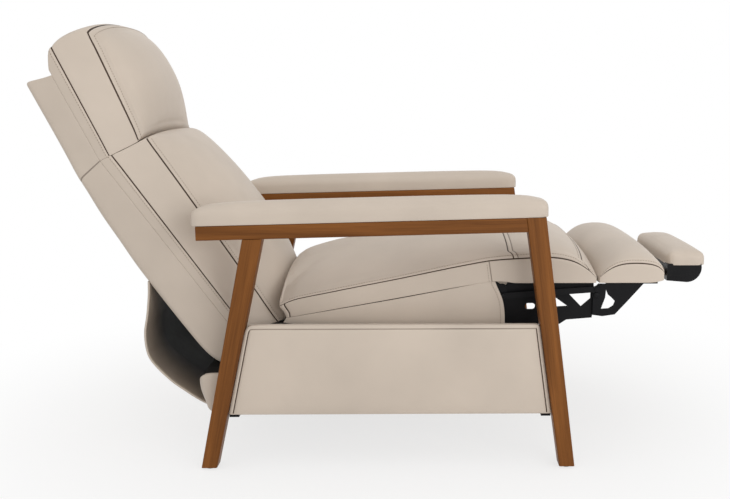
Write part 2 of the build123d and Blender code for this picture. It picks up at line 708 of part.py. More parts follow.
with BuildPart() as leg_board:
    with Locations((pad_middle, 0, REST_UNDERSIDE + BOARD_THICKNESS / 2)):
        Box(LEG_PAD_LENGTH - 36, 2 * board_half, BOARD_THICKNESS)
    for side in (1, -1):
        with BuildSketch(side_plane(-side * KNUCKLE_Y)):
            Polygon(
                (flap_hinge[0] - 34, REST_UNDERSIDE),
                (flap_hinge[0] - 8, flap_hinge[1] - 7),
                (flap_hinge[0] + 6, flap_hinge[1] - 7),
                (flap_hinge[0] + 7, flap_hinge[1] + 7),
                (flap_hinge[0] - 9, REST_UNDERSIDE),
                align=None,
            )
            with Locations(flap_hinge):
                Circle(9)
            with Locations(flap_hinge):
                Circle(pin_radius + RUN_GAP, mode=Mode.SUBTRACT)
        extrude(amount=KNUCKLE_WIDTH / 2, both=True)
keep("leg_board", leg_board.part)

# Leg pad brackets: hinge eye, short curl arm and a hooked web under the pad
with BuildPart() as leg_bracket:
    with BuildSketch(side_plane(-seat_layer)):
        Polygon(
            (knee_hinge[0] - 8, knee_hinge[1] - 6),
            (knee_hinge[0] - 8, knee_hinge[1] - 0.88 * HOOK_DEPTH),
            (knee_hinge[0] + 0.1 * LEG_PAD_LENGTH, knee_hinge[1] - 0.94 * HOOK_DEPTH),
            (knee_hinge[0] + 0.29 * LEG_PAD_LENGTH, knee_hinge[1] - 0.86 * HOOK_DEPTH),
            (knee_hinge[0] + 0.48 * LEG_PAD_LENGTH, knee_hinge[1] - 0.25 * HOOK_DEPTH),
            (knee_hinge[0] + 0.71 * LEG_PAD_LENGTH, flange_bottom),
            (knee_hinge[0] + 4, flange_bottom),
            (knee_hinge[0] - 8, knee_hinge[1] + CURL_ARM),
            align=None,
        )
        Polygon(
            (knee_hinge[0] + 0.145 * LEG_PAD_LENGTH, flange_bottom - 14),
            (knee_hinge[0] + 0.135 * LEG_PAD_LENGTH, knee_hinge[1] - 0.1 * HOOK_DEPTH),
            (knee_hinge[0] + 0.075 * LEG_PAD_LENGTH, knee_hinge[1] - 0.61 * HOOK_DEPTH),
            (knee_hinge[0] + 0.19 * LEG_PAD_LENGTH, knee_hinge[1] - 0.59 * HOOK_DEPTH),
            (knee_hinge[0] + 0.26 * LEG_PAD_LENGTH, knee_hinge[1] - 0.46 * HOOK_DEPTH),
            (knee_hinge[0] + 0.285 * LEG_PAD_LENGTH, knee_hinge[1] - 0.27 * HOOK_DEPTH),
            (knee_hinge[0] + 0.23 * LEG_PAD_LENGTH, knee_hinge[1] - 0.1 * HOOK_DEPTH),
            (knee_hinge[0] + 0.175 * LEG_PAD_LENGTH, knee_hinge[1] + 0.03 * HOOK_DEPTH),
            align=None,
            mode=Mode.SUBTRACT,
        )
        bar(knee_hinge, link_head, 14)
        with Locations(knee_hinge):
            Circle(10)
        with Locations(knee_hinge):
            Circle(pin_radius + RUN_GAP, mode=Mode.SUBTRACT)
    extrude(amount=LINK_STEEL)
    with BuildSketch(Plane.XY.offset(flange_bottom)):
        with Locations((pad_middle + 2, -(flange_inner + seat_layer + LINK_STEEL) / 2)):
            Rectangle(LEG_PAD_LENGTH - 34, seat_layer + LINK_STEEL - flange_inner)
    extrude(amount=STEEL)
    with BuildSketch(side_plane(-(seat_layer + LINK_STEEL))):
        with Locations(link_head):
            Circle(pin_radius)
    extrude(amount=link_layer - OPEN_GAP - seat_layer - LINK_STEEL)
keep_pair("leg_bracket", leg_bracket)

# Foot flap: small pad on a black tray that turns on the front of the leg board
flap_end = flap_start + FLAP_LENGTH
flap_half = FLAP_WIDTH / 2


def flap_outline(crown):
    shoulder = flap_underside + FLAP_HEIGHT - 4.0 + 0.7 * crown
    return [
        ((flap_start + 1, flap_underside), 0.0),
        ((flap_end - 4, flap_underside), 4.0),
        ((flap_end - 8, shoulder), 5.0 + 0.3 * crown),
        ((flap_start + 8, shoulder), 5.0),
    ]


flap_cushion = cushion(three_sections(flap_outline(0.0), flap_outline(FLAP_CROWN), flap_half))
keep("flap_cushion", flap_cushion.part)

with BuildPart() as flap_tray:
    with BuildSketch(side_plane(0.0)):
        with BuildLine():
            Polyline(
                (flap_start + 46, flap_underside - TRAY_HEIGHT),
                (flap_start - 1, flap_underside - TRAY_HEIGHT + 4),
                (flap_start - 1, flap_underside),
                (flap_end - 14, flap_underside),
            )
            ThreePointArc(
                (flap_end - 14, flap_underside),
                (flap_end - 19, flap_underside - TRAY_HEIGHT + 15),
                (flap_start + 46, flap_underside - TRAY_HEIGHT),
            )
        make_face()
    extrude(amount=flap_half, both=True)
    for side in (1, -1):
        with BuildSketch(side_plane(-side * (KNUCKLE_Y - KNUCKLE_WIDTH))):
            bar(flap_hinge, (flap_start + 14, flap_underside - TRAY_HEIGHT / 2 - 4), 16)
        extrude(amount=8, both=True)
    with BuildSketch(side_plane(0.0)):
        with Locations(flap_hinge):
            Circle(pin_radius)
    extrude(amount=KNUCKLE_Y + KNUCKLE_WIDTH, both=True)
keep("flap_tray", flap_tray.part)

# Back shell: hollow behind, below and at the sides, open towards the cushions
knee_lean = radians((BACK_LEAN + HEAD_LEAN) / 2)


def shell_outline(wall):
    """Side outline of the shell, drawn in by wall everywhere but on the front seam."""
    knee_depth = SHELL_DEPTH_KNEE - wall
    knee_rear = (knee_x - knee_depth * cos(knee_lean), knee_z - knee_depth * sin(knee_lean))
    return [
        back_point(0.0, -shell_low + wall),
        (knee_x, knee_z),
        head_point(0.0, SHELL_HEAD - wall),
        head_point(-SHELL_DEPTH_TOP + wall + 12.0, SHELL_HEAD - wall),
        head_point(-SHELL_DEPTH_TOP + wall, SHELL_HEAD - wall - 14.0),
        knee_rear,
        back_point(-SHELL_DEPTH_LOW + wall, -0.3 * shell_low),
        back_point(-SHELL_DEPTH_LOW + wall, -0.86 * shell_low),
        back_point(-SHELL_DEPTH_LOW + wall + 20.0, -shell_low + wall),
    ]


with BuildPart() as back_shell:
    with BuildSketch(side_plane(0.0)):
        Polygon(*shell_outline(0.0), align=None)
    extrude(amount=half_body, both=True)
    with BuildSketch(side_plane(0.0)):
        Polygon(*shell_outline(SHELL_WALL), align=None)
    extrude(amount=half_body - SHELL_WALL, both=True, mode=Mode.SUBTRACT)
keep("back_shell", back_shell.part)

# Wooden frame inside the shell
stile_front = -12.0
stile_rear = stile_front - STILE_DEPTH
stile_foot = SHELL_WALL + 12.0 - shell_low
stile_top = SHELL_HEAD - SHELL_WALL - 22.0
stile_inner = bracket_layer - STILE_WIDTH
stile_end = SHELL_WALL - shell_low  # stands on the floor of the shell
stile_knee_front = (knee_x + stile_front * cos(knee_lean), knee_z + stile_front * sin(knee_lean))
stile_knee_rear = (knee_x + stile_rear * cos(knee_lean), knee_z + stile_rear * sin(knee_lean))
with BuildPart() as back_stile:
    with BuildSketch(side_plane(-stile_inner)):
        Polygon(
            back_point(stile_front, stile_end),
            stile_knee_front,
            head_point(stile_front, stile_top),
            head_point(stile_rear + 6, stile_top),
            stile_knee_rear,
            back_point(stile_rear, stile_foot + 30),
            back_point(stile_rear + 12, stile_end),
            align=None,
        )
    extrude(amount=STILE_WIDTH)
keep_pair("back_stile", back_stile)

with BuildPart() as back_rails:
    for place, low in ((head_point, stile_top - 44), (back_point, stile_foot + 34)):
        with BuildSketch(side_plane(0.0)):
            Polygon(
                place(stile_front - 2, low),
                place(stile_front - 2, low + 40),
                place(stile_rear + 8, low + 40),
                place(stile_rear + 8, low),
                align=None,
            )
        extrude(amount=stile_inner, both=True)
keep("back_rails", back_rails.part)

# Elastic straps across the front of the stiles
strap_rear = stile_front + RUN_GAP
with BuildPart() as back_straps:
    for index in range(STRAP_COUNT):
        low = stile_foot + 50 + index * (-stile_foot - 130) / (STRAP_COUNT - 1)
        with BuildSketch(side_plane(0.0)):
            Polygon(
                back_point(strap_rear, low),
                back_point(strap_rear, low + STRAP_WIDTH),
                back_point(strap_rear + STRAP_THICKNESS, low + STRAP_WIDTH),
                back_point(strap_rear + STRAP_THICKNESS, low),
                align=None,
            )
        extrude(amount=stile_inner + STILE_WIDTH, both=True)
keep("back_straps", back_straps.part)

# Back brackets: from the stile, under the lumbar cushion, to the shaft and the push rod
with BuildPart() as back_bracket:
    with BuildSketch(side_plane(-bracket_layer)):
        Polygon(
            back_point(stile_rear + 4, stile_foot + BRACKET_RUN),
            back_point(stile_rear + 4, stile_foot + 4),
            back_point(-4.0, stile_foot - 9),
            (PIVOT_X - 14, PIVOT_Z - 17),
            (PIVOT_X + 4, PIVOT_Z + 18),
            back_point(-2.5, stile_foot + 22),
            back_point(stile_front - 6, stile_foot + BRACKET_RUN),
            align=None,
        )
        with Locations(pivot):
            Circle(SHAFT_DIAMETER / 2 + 9)
        bar(pivot, crank_foot, 26)
        with Locations(pivot):
            Circle(SHAFT_DIAMETER / 2 + RUN_GAP, mode=Mode.SUBTRACT)
    extrude(amount=STEEL)
    with BuildSketch(side_plane(-(bracket_layer + STEEL))):
        with Locations(crank_foot):
            Circle(pin_radius)
    extrude(amount=rod_layer + STEEL + 1.5 - bracket_layer - STEEL)
keep_pair("back_bracket", back_bracket)

# Lumbar cushion, with slots underneath for the back brackets
crease_drop = tan(radians(BACK_LEAN - HEAD_LEAN))


def lumbar_outline(crown):
    depth = CUSHION_DEPTH + 0.45 * crown
    return [
        (back_point(0.0, -LUMBAR_LENGTH), 0.0),
        (back_point(CUSHION_DEPTH - 8 + 0.1 * crown, -LUMBAR_LENGTH), 12.0 + 0.62 * crown),
        (back_point(depth, -depth * crease_drop - CREASE_GAP), 2.0),
        (back_point(0.0, -CREASE_GAP), 0.0),
    ]


lumbar_form = cushion(three_sections(lumbar_outline(0.0), lumbar_outline(LUMBAR_CROWN), half_body))
with BuildPart() as lumbar_cushion:
    add(lumbar_form.part)
    for side in (1, -1):
        with BuildSketch(side_plane(-side * (bracket_layer + STEEL / 2))):
            Polygon(
                back_point(-2.0, -LUMBAR_LENGTH - 4),
                back_point(CUSHION_DEPTH + 20, -LUMBAR_LENGTH - 4),
                back_point(CUSHION_DEPTH + 20, -LUMBAR_LENGTH + 10),
                back_point(40.0, -LUMBAR_LENGTH + 34),
                back_point(-2.0, -LUMBAR_LENGTH + 34),
                align=None,
            )
        extrude(amount=STEEL / 2 + 2.0, both=True, mode=Mode.SUBTRACT)
keep("lumbar_cushion", lumbar_cushion.part)


# Head pillow, wrapping over the top of the shell
def pillow_outline(crown):
    rise = PILLOW_RISE * crown / PILLOW_CROWN
    depth = CUSHION_DEPTH + 0.3 * crown
    return [
        (head_point(0.0, CREASE_GAP), 0.0),
        (head_point(depth, CREASE_GAP), 3.0 + 0.75 * crown),
        (head_point(depth + 5, PILLOW_LENGTH + 0.6 * rise), 10.0 + 0.25 * rise),
        (head_point(26.0, PILLOW_LENGTH + 6 + 0.6 * rise), 8.0),
        (head_point(0.0, SHELL_HEAD + 12), 0.0),
    ]


head_pillow = cushion(three_sections(pillow_outline(0.0), pillow_outline(PILLOW_CROWN), half_body))
keep("head_pillow", head_pillow.part)

# Loose flap of cover cloth between the back and the rear rail, hanging in one outward fold
drape_top = back_point(-SHELL_DEPTH_LOW - DRAPE_GAP, -0.51 * shell_low)
drape_edge = back_point(-SHELL_DEPTH_LOW - DRAPE_GAP, -0.51 * shell_low + CLOTH)
drape_foot = (REAR_RAIL_BACK + 18 - DRAPE_GAP, PANEL_BOTTOM - 8 - DRAPE_GAP)
drape_run = (drape_foot[0] - drape_top[0], drape_foot[1] - drape_top[1])


def drape_spot(share, out):
    """Point on the hanging flap: share of the way down, and this far out behind the straight line."""
    length = hypot(*drape_run)
    out_x = drape_run[1] / length * out
    out_z = -drape_run[0] / length * out
    return (drape_top[0] + share * drape_run[0] + out_x, drape_top[1] + share * drape_run[1] + out_z)


with BuildPart() as rear_flap:
    with BuildSketch(side_plane(0.0)):
        with BuildLine():
            ThreePointArc(drape_top, drape_spot(0.26, DRAPE_SAG_HIGH), drape_spot(0.47, DRAPE_SAG))
            ThreePointArc(drape_spot(0.47, DRAPE_SAG), drape_spot(0.73, DRAPE_SAG_LOW), drape_foot)
            Line(drape_foot, (drape_foot[0] - CLOTH, drape_foot[1] - 1))
            ThreePointArc(
                (drape_foot[0] - CLOTH, drape_foot[1] - 1),
                drape_spot(0.73, DRAPE_SAG_LOW + CLOTH),
                drape_spot(0.47, DRAPE_SAG + CLOTH),
            )
            ThreePointArc(
                drape_spot(0.47, DRAPE_SAG + CLOTH),
                drape_spot(0.26, DRAPE_SAG_HIGH + CLOTH),
                drape_edge,
            )
            Line(drape_edge, drape_top)
        make_face()
    extrude(amount=half_body - 6, both=True)
keep("rear_flap", rear_flap.part)
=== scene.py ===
"""Recliner chair: sewn leather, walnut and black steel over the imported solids, on a plain pale stage."""
import json
from bisect import bisect_right
from itertools import product
from math import cos, hypot, pi, radians, sin, sqrt, tan
from typing import Callable, NamedTuple

import bmesh
import bpy
from bpy.props import FloatProperty, FloatVectorProperty, IntProperty, PointerProperty
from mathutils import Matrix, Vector
from mathutils.bvhtree import BVHTree


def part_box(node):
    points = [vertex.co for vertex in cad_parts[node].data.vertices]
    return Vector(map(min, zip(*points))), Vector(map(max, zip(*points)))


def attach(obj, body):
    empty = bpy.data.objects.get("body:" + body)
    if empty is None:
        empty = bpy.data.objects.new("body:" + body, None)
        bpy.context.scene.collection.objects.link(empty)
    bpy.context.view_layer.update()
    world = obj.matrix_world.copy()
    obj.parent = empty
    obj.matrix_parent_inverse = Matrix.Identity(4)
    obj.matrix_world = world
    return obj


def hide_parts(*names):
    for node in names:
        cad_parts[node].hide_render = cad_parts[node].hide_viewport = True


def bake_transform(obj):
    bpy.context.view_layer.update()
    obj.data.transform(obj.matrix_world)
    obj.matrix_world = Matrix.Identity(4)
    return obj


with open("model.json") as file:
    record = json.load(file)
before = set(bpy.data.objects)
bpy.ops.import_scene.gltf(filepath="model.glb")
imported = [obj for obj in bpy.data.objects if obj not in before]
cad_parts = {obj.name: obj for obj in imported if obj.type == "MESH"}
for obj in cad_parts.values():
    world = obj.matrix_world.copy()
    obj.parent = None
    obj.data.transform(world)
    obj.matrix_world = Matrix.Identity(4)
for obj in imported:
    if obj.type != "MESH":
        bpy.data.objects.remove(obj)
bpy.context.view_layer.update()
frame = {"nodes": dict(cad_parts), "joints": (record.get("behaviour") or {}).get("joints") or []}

NODES = frame["nodes"]
JOINT_AT = {j["name"]: Vector(j["pos_m"]) for j in frame["joints"]}

bl_info = {
    "name": "Recliner dressing",
    "version": (1, 0, 0),
    "blender": (4, 5, 0),
    "location": "3D View > Sidebar > Recliner",
    "description": "Sews the leather, stains the wood and blacks the steel of a packed recliner",
    "category": "Object",
}

# Lie of the back: its bend on the seam between shell and cushions, and the lean of its two parts
BEND_X = -0.646
BEND_Z = 0.706
BACK_LEAN = radians(36.0)
HEAD_LEAN = radians(26.5)
LUMBAR_LENGTH = 0.527
SHELL_HEAD = 0.214
SHELL_FOOT = -0.550
CREASE_GAP = 0.0010
SIDE_BORDER = 0.029  # strip of the back cushions behind their dark rear seam
FRONT_BORDER = 0.1045  # depth of the sides of the back cushions
BACK_SLANT = 0.044  # how far the sides of the back cushions lean in to the front
ARM_SLOPE = tan(radians(1.4))
HALF_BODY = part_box("seat_cushion")[1].y
SEAM_SPREAD = 0.0045  # from a seam to the top of the roll beside it
HEM = 0.0018  # last grid line before an edge that stays crisp
ON_FACE = 0.999  # past this share a point of a pad lies on its outer face
SEAT_REAR = -0.237
SEAT_SEAM = 0.78  # share of the seat's side that lies below its top seam
GUSSET_AT = 0.245  # upright seam in the side of the seat
SLANT_START = 0.023  # depth of the back cushions at which their sides begin to lean in
SLANT_RUN = 0.075  # depth over which they come to the full slant
ROLL_STEPS = 4  # grid lines over the rolled front of a pad
THIN_SEAM = 0.5  # how far a thin seam is drawn in, as a share of a full one
STITCH_BOW = ((-0.5, -0.6), (-0.32, 0.35), (0.0, 0.6), (0.32, 0.35), (0.5, -0.6))  # place, lift in radii
STITCH_SIDES = 5
SHINE = "Specular IOR Level"
WHITE = (1.0, 1.0, 1.0, 1.0)


def length_property(name, description, default):
    return FloatProperty(name=name, description=description, default=default, unit="LENGTH")


def colour_property(name, description, default):
    return FloatVectorProperty(name=name, description=description, default=default, subtype="COLOR")


class ReclinerSizes(bpy.types.PropertyGroup):
    """Sizes of the sewing and padding."""

    grid: length_property("Grid", "Mesh spacing on the cushions", 0.016)
    seam_width: length_property("Seam width", "Dark line of a seam", 0.0018)
    seam_depth: length_property("Seam depth", "How far a seam draws in", 0.0024)
    roll_height: length_property("Roll height", "Roll of leather beside a seam", 0.0007)
    stitch_pitch: length_property("Stitch pitch", "Spacing of topstitches", 0.0062)
    stitch_length: length_property("Stitch length", "Thread that shows", 0.0046)
    thread: length_property("Thread", "Radius of the thread", 0.0006)
    pressure: FloatProperty(name="Filling", description="Air pressure of the padding", default=4.0)
    frames: IntProperty(name="Settling", description="Steps of the padding simulation", default=20)


class ReclinerFinish(bpy.types.PropertyGroup):
    """Colours of the finishes, and of the painted shade in the seams and inside the rear flap."""

    leather: colour_property("Leather", "Cream leather", (0.565, 0.487, 0.412))
    seam: colour_property("Seam", "Shadowed edge in a seam", (0.060, 0.038, 0.026))
    thread: colour_property("Thread", "Topstitch thread", (0.300, 0.235, 0.180))
    suede: colour_property("Suede", "Back of the leather", (0.345, 0.285, 0.230))
    # Near black of the lining cloth, also used as the painted shade inside the rear flap
    lining_and_shade: colour_property("Lining", "Black lining cloth", (0.012, 0.011, 0.010))
    walnut: colour_property("Walnut", "Body of the stained wood", (0.248, 0.092, 0.022))
    walnut_dark: colour_property("Walnut grain", "Grain of the stained wood", (0.112, 0.039, 0.009))
    ply: colour_property("Plain wood", "Bare wood inside", (0.520, 0.370, 0.220))
    ply_dark: colour_property("Plain grain", "Grain of the bare wood", (0.380, 0.240, 0.120))
    black: colour_property("Black", "Coating of the mechanism", (0.006, 0.006, 0.007))
    zinc: colour_property("Zinc", "Bolts and springs", (0.500, 0.500, 0.510))
    glide: colour_property("Glide", "Floor glides", (0.040, 0.032, 0.026))


class ReclinerStage(bpy.types.PropertyGroup):
    """Camera, lamps and floor."""

    camera_place: FloatVectorProperty(name="Camera", description="Place of the camera",
                                      subtype="TRANSLATION", default=(0.0721, -2.265, 0.8493))
    camera_pitch: FloatProperty(name="Pitch", description="How far the camera looks down",
                                subtype="ANGLE", default=radians(9.942))
    camera_turn: FloatProperty(name="Turn", description="Turn of the camera to the front of the chair",
                               subtype="ANGLE", default=radians(0.6875))
    focal_length: FloatProperty(name="Focal length", description="In millimetres on a 36 mm sensor",
                                default=42.904)
    shift: FloatProperty(name="Shift", description="Sideways lens shift", default=-0.0844)
    key_power: FloatProperty(name="Key", description="Overhead soft lamp, in watts", default=14.0)
    fill_power: FloatProperty(name="Fill", description="Front soft lamp, in watts", default=36.0)
    sky: FloatProperty(name="Sky", description="Strength of the even light", default=0.75)
    floor_glow: FloatProperty(name="Floor glow", description="White that the floor shows the camera",
                              default=0.72, subtype="FACTOR")


# Small sums

def between(low, high, share):
    return low + (high - low) * share


def ease(t):
    t = min(max(t, 0.0), 1.0)
    return t * t * (3 - 2 * t)


def dome(t, fullness=2.4, ends=0.0):
    """1 at t = 0, falling to ends at t = -1 and 1; a larger fullness is flatter on top."""
    return between(ends, 1.0, max(0.0, 1.0 - abs(t) ** fullness) ** 0.7)


def curve(*points):
    """Smooth function through a few points, level past the ends."""
    xs = [p[0] for p in points]
    ys = [p[1] for p in points]
    slopes = []
    for i in range(len(xs)):
        before, after = max(i - 1, 0), min(i + 1, len(xs) - 1)
        slopes.append((ys[after] - ys[before]) / (xs[after] - xs[before]))

    def value(x):
        if x <= xs[0]:
            return ys[0]
        if x >= xs[-1]:
            return ys[-1]
        i = bisect_right(xs, x) - 1
        step = xs[i + 1] - xs[i]
        t = (x - xs[i]) / step
        rise = ys[i + 1] - ys[i]
        bend_in = slopes[i] * step - rise
        bend_out = rise - slopes[i + 1] * step
        return ys[i] + t * rise + t * (1 - t) * ((1 - t) * bend_in + t * bend_out)

    return value


def back_point(u, y, v):
    """Point of the back: u to the front of the shell seam, y across, v up from the bend."""
    low = Vector((u * cos(BACK_LEAN) - v * sin(BACK_LEAN), y, u * sin(BACK_LEAN) + v * cos(BACK_LEAN)))
    head = Vector((u * cos(HEAD_LEAN) - v * sin(HEAD_LEAN), y, u * sin(HEAD_LEAN) + v * cos(HEAD_LEAN)))
    return Vector((BEND_X, 0, BEND_Z)) + low.lerp(head, ease((v + 0.03) / 0.06))


seat_under = curve((SEAT_REAR, 0.3375), (0.0, 0.3800), (0.24, 0.4230), (0.275, 0.4240), (0.30, 0.4205),
                   (0.36, 0.4200))

# Padded blocks: closed grids over six faces, with grid lines where the seams run

def sewn_lines(marks, seams, unit):
    """Grid lines with a cluster of five at each seam; unit is the real size of one step of the scale."""
    half = bpy.context.scene.recliner_sizes.seam_width / 2 / unit
    spread = SEAM_SPREAD / unit
    clusters = [x + d for x in seams for d in (-spread, -half, 0.0, half, spread)]
    kept = [x for x in marks[1:-1] if all(abs(x - s) > 0.9 * spread for s in clusters)]
    return [marks[0], *sorted(kept + clusters), marks[-1]]


def even_lines(low, high, count):
    return [between(low, high, i / count) for i in range(count + 1)]


def roll_inset(c, radius, share):
    """How far the edge of a pad draws in at this height, with the top share rounded over."""
    t = max(0.0, (c - (1 - share)) / share)
    return radius * (1 - sqrt(max(0.0, 1 - t * t)))


def rounded(x, y, low, high, half, corner):
    """Point of an oblong from low to high and half wide to each side, with round corners."""
    mid_x = min(max(x, low + corner), high - corner)
    mid_y = min(max(y, corner - half), half - corner)
    dx, dy = x - mid_x, y - mid_y
    far = hypot(dx, dy)
    pull = max(abs(dx), abs(dy)) / far if far > 1e-9 else 1.0
    return mid_x + dx * pull, mid_y + dy * pull


class Block:
    """Closed grid over the six faces of a padded block. put(a, b, c) places its points."""

    def __init__(self, along, across, through, put):
        self.lines = (along, across, through)
        self.number = {}
        self.spots = []
        self.points = []
        last = [len(x) - 1 for x in self.lines]
        for key in product(*[range(n + 1) for n in last]):
            if any(k in (0, n) for k, n in zip(key, last)):
                spot = [lines[k] for lines, k in zip(self.lines, key)]
                self.number[key] = len(self.points)
                self.spots.append(spot)
                self.points.append(put(*spot))
        self.faces = []
        for axis in range(3):
            first, second = [n for x, n in enumerate(last) if x != axis]
            for end, p, q in product((0, last[axis]), range(first), range(second)):
                self.faces.append(self.corners(axis, end, p, q))

    def corners(self, axis, end, p, q):
        """Numbers of the four points round one face, on a side where this axis is at an end."""
        around = []
        for key in ([p, q], [p + 1, q], [p + 1, q + 1], [p, q + 1]):
            key.insert(axis, end)
            around.append(self.number[tuple(key)])
        return around

    def between_lines(self, values, spot):
        """Value at a spot between the grid lines, from one value for each point."""
        low, share = [], []
        for lines, x in zip(self.lines, spot):
            i = min(max(bisect_right(lines, x) - 1, 0), len(lines) - 2)
            low.append(i)
            share.append((x - lines[i]) / (lines[i + 1] - lines[i]))
        total = Vector((0, 0, 0))
        for corner in range(8):
            bits = [(corner >> axis) & 1 for axis in range(3)]
            weight = 1.0
            for bit, part in zip(bits, share):
                weight *= part if bit else 1 - part
            if weight > 1e-9:
                total += values[self.number[tuple(x + bit for x, bit in zip(low, bits))]] * weight
        return total


def plain_mesh(name, points, faces):
    mesh = bpy.data.meshes.new(name)
    mesh.from_pydata([tuple(p) for p in points], [], faces)
    return mesh


def raw_mesh(name, points, faces):
    """Mesh whose faces all look outward."""
    mesh = plain_mesh(name, points, faces)
    form = bmesh.new()
    form.from_mesh(mesh)
    bmesh.ops.recalc_face_normals(form, faces=form.faces)
    form.to_mesh(mesh)
    form.free()
    return mesh


def shown(name, mesh, *materials):
    piece = bpy.data.objects.new(name, mesh)
    bpy.context.scene.collection.objects.link(piece)
    for material in materials:
        mesh.materials.append(material)
    mesh.shade_smooth()
    return piece


def keep_shape(piece):
    """Makes the shape that the modifiers give the piece's own mesh."""
    made = bpy.data.meshes.new_from_object(piece.evaluated_get(bpy.context.evaluated_depsgraph_get()))
    plain = piece.data
    piece.modifiers.clear()
    piece.data = made
    bpy.data.meshes.remove(plain)
    made.name = piece.name


def settle(block, held, cap):
    """Pumps up a coarse block as cloth with its held points fixed; gives how far each point moves."""
    scene = bpy.context.scene
    sizes = scene.recliner_sizes
    pad = bpy.data.objects.new("settling", raw_mesh("settling", block.points, block.faces))
    scene.collection.objects.link(pad)
    fixed = [i for i, spot in enumerate(block.spots) if held(*spot)]
    pad.vertex_groups.new(name="held").add(fixed, 1.0, "REPLACE")
    cloth = pad.modifiers.new("padding", "CLOTH")
    cloth.settings.vertex_group_mass = "held"
    cloth.settings.use_pressure = True
    cloth.settings.uniform_pressure_force = sizes.pressure
    cloth.settings.effector_weights.gravity = 0.0
    cloth.settings.quality = 5
    cloth.point_cache.frame_start = 1
    cloth.point_cache.frame_end = sizes.frames
    for step in range(1, sizes.frames + 1):
        scene.frame_set(step)
    result = pad.evaluated_get(bpy.context.evaluated_depsgraph_get()).data
    moved = [result.vertices[i].co - p for i, p in enumerate(block.points)]
    scene.frame_set(1)
    bpy.data.objects.remove(pad)
    swell = []
    for move, spot in zip(moved, block.spots):
        swell.append(move * min(1.0, cap(*spot) / max(move.length, 1e-9)))
    return swell


class Seam(NamedTuple):
    """A grid line of a block that is drawn in: the axis it is constant on, its value and where it runs."""

    axis: int
    value: float
    where: Callable
    thin: bool = False


def sew(name, block, seams, units, materials):
    """Mesh of a block with its seams drawn in and their narrow strips given the seam materials."""
    sizes = bpy.context.scene.recliner_sizes
    mesh = raw_mesh(name, block.points, block.faces)
    normals = [v.normal.copy() for v in mesh.vertices]

    def away(seam, spot):
        return abs(spot[seam.axis] - seam.value) * units[seam.axis]

    for vertex, normal, spot in zip(mesh.vertices, normals, block.spots):
        for seam in seams:
            gap = away(seam, spot)
            if gap > SEAM_SPREAD * 1.01 or not seam.where(*spot):
                continue
            push = sizes.roll_height
            if gap < sizes.seam_width * 0.25:
                push = -sizes.seam_depth
            elif gap < sizes.seam_width:
                push = -0.25 * sizes.seam_depth
            vertex.co += normal * (push * (THIN_SEAM if seam.thin else 1.0))
    for polygon in mesh.polygons:
        spots = [block.spots[v] for v in polygon.vertices]
        for seam in seams:
            near = all(away(seam, s) < sizes.seam_width * 0.6 for s in spots)
            if near and all(seam.where(*s) for s in spots):
                polygon.material_index = 2 if seam.thin else 1
    piece = shown(name, mesh, *materials)
    smooth = piece.modifiers.new("smooth", "SUBSURF")
    smooth.levels = smooth.render_levels = 1
    keep_shape(piece)
    return piece


def topstitch(name, piece, rows):
    """Short stitches laid on a piece along rows of points."""
    sizes = bpy.context.scene.recliner_sizes
    surface = BVHTree.FromObject(piece, bpy.context.evaluated_depsgraph_get())
    points, faces = [], []
    for row in rows:
        walk, gone = [], 0.0
        for start, end in zip(row, row[1:]):
            span = (end - start).length
            while gone < span:
                walk.append((start.lerp(end, gone / span), (end - start) / span))
                gone += sizes.stitch_pitch
            gone -= span
        for middle, way in walk:
            lay_stitch(surface, middle, way, sizes, points, faces)
    return shown(name, plain_mesh(name, points, faces), thread_material())


def lay_stitch(surface, middle, way, sizes, points, faces):
    """One stitch: a bowed strand of three rings, with pointed ends sunk in the leather."""
    ends = []
    for share, lift in STITCH_BOW:
        spot, normal, _, _ = surface.find_nearest(middle + way * share * sizes.stitch_length)
        ends.append((spot + normal * lift * sizes.thread, normal))
    first = len(points)
    points.append(ends[0][0])
    for spot, normal in ends[1:4]:
        side = way.cross(normal).normalized()
        for turn in range(STITCH_SIDES):
            angle = 2 * pi * turn / STITCH_SIDES
            points.append(spot + (side * cos(angle) + normal * sin(angle)) * sizes.thread)
    points.append(ends[4][0])
    rings = [first + 1 + STITCH_SIDES * ring for ring in range(3)]
    for turn in range(STITCH_SIDES):
        after = (turn + 1) % STITCH_SIDES
        faces.append((first, rings[0] + after, rings[0] + turn))
        for low, high in zip(rings, rings[1:]):
            faces.append((low + turn, low + after, high + after, high + turn))
        faces.append((rings[2] + turn, rings[2] + after, rings[2] + STITCH_SIDES))


# Finishes

def new_material(name):
    """Material of this name, with its node tree and Principled shader if it is new."""
    found = bpy.data.materials.get(name)
    if found:
        return found, None, None
    material = bpy.data.materials.new(name)
    material.use_nodes = True
    tree = material.node_tree
    return material, tree, tree.nodes["Principled BSDF"]


def feed(tree, node, inputs):
    """Sets inputs of a shader node; a value that is a socket is linked."""
    for key, value in inputs.items():
        if isinstance(value, bpy.types.NodeSocket):
            tree.links.new(value, node.inputs[key])
        else:
            node.inputs[key].default_value = value


def add_node(tree, kind, inputs=None, **settings):
    made = tree.nodes.new(kind)
    for key, value in settings.items():
        setattr(made, key, value)
    feed(tree, made, inputs or {})
    return made


def noise(tree, place, scale, detail, **more):
    inputs = {"Vector": place, "Scale": scale, "Detail": detail, **more}
    return add_node(tree, "ShaderNodeTexNoise", inputs).outputs["Fac"]


def worked(tree, operation, *values):
    """Result of a maths node on numbers and sockets."""
    return add_node(tree, "ShaderNodeMath", dict(enumerate(values)), operation=operation).outputs[0]


def vector_worked(tree, operation, *values):
    made = add_node(tree, "ShaderNodeVectorMath", dict(enumerate(values)), operation=operation)
    return made.outputs["Vector"]


def ranged(tree, value, low, high, new_low=0.0, new_high=1.0):
    """The value with low to high stretched to new_low to new_high."""
    inputs = {"Value": value, "From Min": low, "From Max": high, "To Min": new_low, "To Max": new_high}
    return add_node(tree, "ShaderNodeMapRange", inputs).outputs["Result"]


